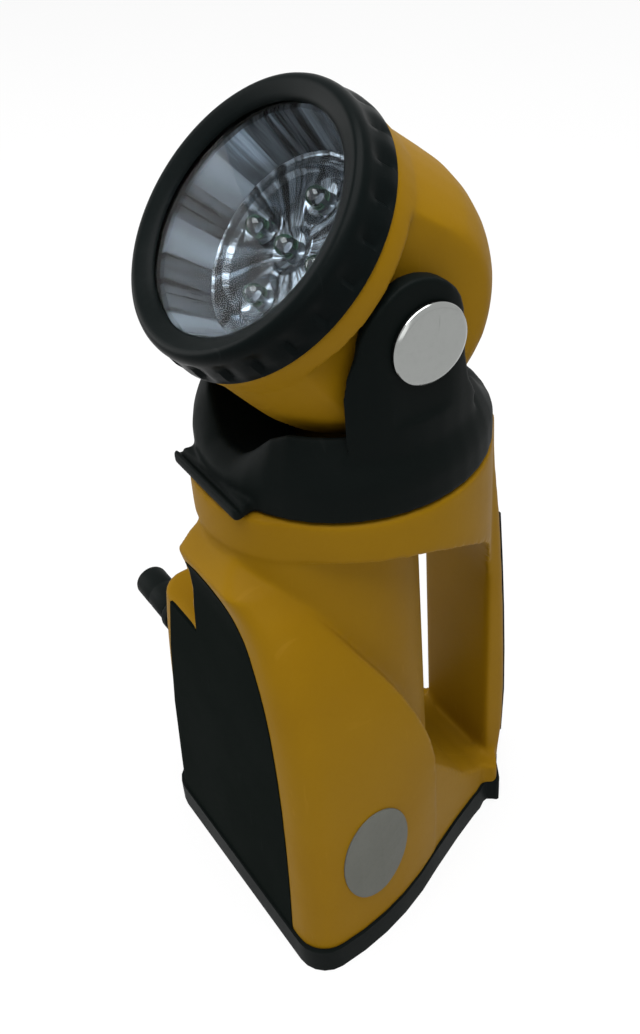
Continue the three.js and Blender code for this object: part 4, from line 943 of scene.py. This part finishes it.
def make_floor():
    """White floor that takes shadows and otherwise fades into the background."""
    floor_reach = 3.0
    glow_share = 0.86
    bm = bmesh.new()
    bmesh.ops.create_grid(bm, x_segments=1, y_segments=1, size=floor_reach, matrix=moved(0, 0, -0.05))
    mesh = mesh_of(bm, "floor", outward=False)
    floor = bpy.data.objects.new("floor", mesh)
    bpy.context.collection.objects.link(floor)
    look, tree, shader, _ = start_material(
        "white_floor", colour=(0.8, 0.8, 0.8), roughness=0.9, specular=0.0)
    glow = tree.nodes.new("ShaderNodeEmission")
    glow.inputs["Strength"].default_value = 1.0
    share = math_node(tree, "MULTIPLY", seen_share(tree), glow_share)
    mix_surface(tree, share, shader.outputs[0], glow.outputs[0], "Material Output")
    mesh.materials.append(look)


def make_world():
    """Plain dim light from all round, behind a white background."""
    world = bpy.data.worlds.new("studio")
    bpy.context.scene.world = world
    world.use_nodes = True
    tree = world.node_tree
    light_strength = 0.2
    shown_strength = 1.0
    lit = tree.nodes["Background"]
    shown = tree.nodes.new("ShaderNodeBackground")
    for background, strength in ((lit, light_strength), (shown, shown_strength)):
        background.inputs["Color"].default_value = (1, 1, 1, 1)
        background.inputs["Strength"].default_value = strength
    mix_surface(tree, seen_share(tree), lit.outputs[0], shown.outputs[0], "World Output")


def make_light(name, place, aim, size, power):
    """A square lamp that points at its aim."""
    light = bpy.data.lights.new(name, "AREA")
    light.shape = "SQUARE"
    light.size = size
    light.energy = power
    item = bpy.data.objects.new(name, light)
    item.location = place
    item.rotation_euler = (Vector(aim) - Vector(place)).to_track_quat("-Z", "Y").to_euler()
    bpy.context.collection.objects.link(item)


def make_lights():
    """One large lamp above and two small ones, in metres and watts."""
    make_light("top_lamp", place=(0.12, -0.05, 1.1), aim=(0, 0, 0.12), size=1.0, power=22.0)
    make_light("front_lamp", place=(-0.75, -0.6, 0.35), aim=(0, 0, 0.1), size=0.6, power=4.5)
    make_light("right_lamp", place=(0.85, -0.4, 0.45), aim=(0, 0, 0.12), size=0.6, power=1.7)


def make_camera():
    """Camera fitted to the photo: its place in metres, and in degrees its bearing, downward tilt and roll."""
    place = (0.23374, -0.14285, 0.34171)
    bearing = 60.21
    downward = 38.584
    roll = -4.832
    camera = bpy.data.cameras.new("camera")
    camera.sensor_fit = "VERTICAL"
    camera.sensor_height = 36.0
    camera.lens = 44.914
    item = bpy.data.objects.new("camera", camera)
    turn = (Matrix.Rotation(math.radians(bearing), 4, "Z")
            @ Matrix.Rotation(math.radians(90 - downward), 4, "X")
            @ Matrix.Rotation(math.radians(roll), 4, "Z"))
    item.matrix_world = Matrix.Translation(place) @ turn
    bpy.context.collection.objects.link(item)
    bpy.context.scene.camera = item


dress_parts()
make_shell()
make_base()
make_screws()
make_panel()
make_grip()
make_button()
make_yoke()
make_caps()
make_housing()
make_bezel()
make_lens()
make_reflector_wall()
make_reflector_ring()
make_lamp_plate()
make_lamp_cups()
make_lamps()
make_crank_arm()
make_knob()
make_camera()
make_floor()
make_world()
make_lights()
bpy.context.scene.view_settings.view_transform = "Standard"
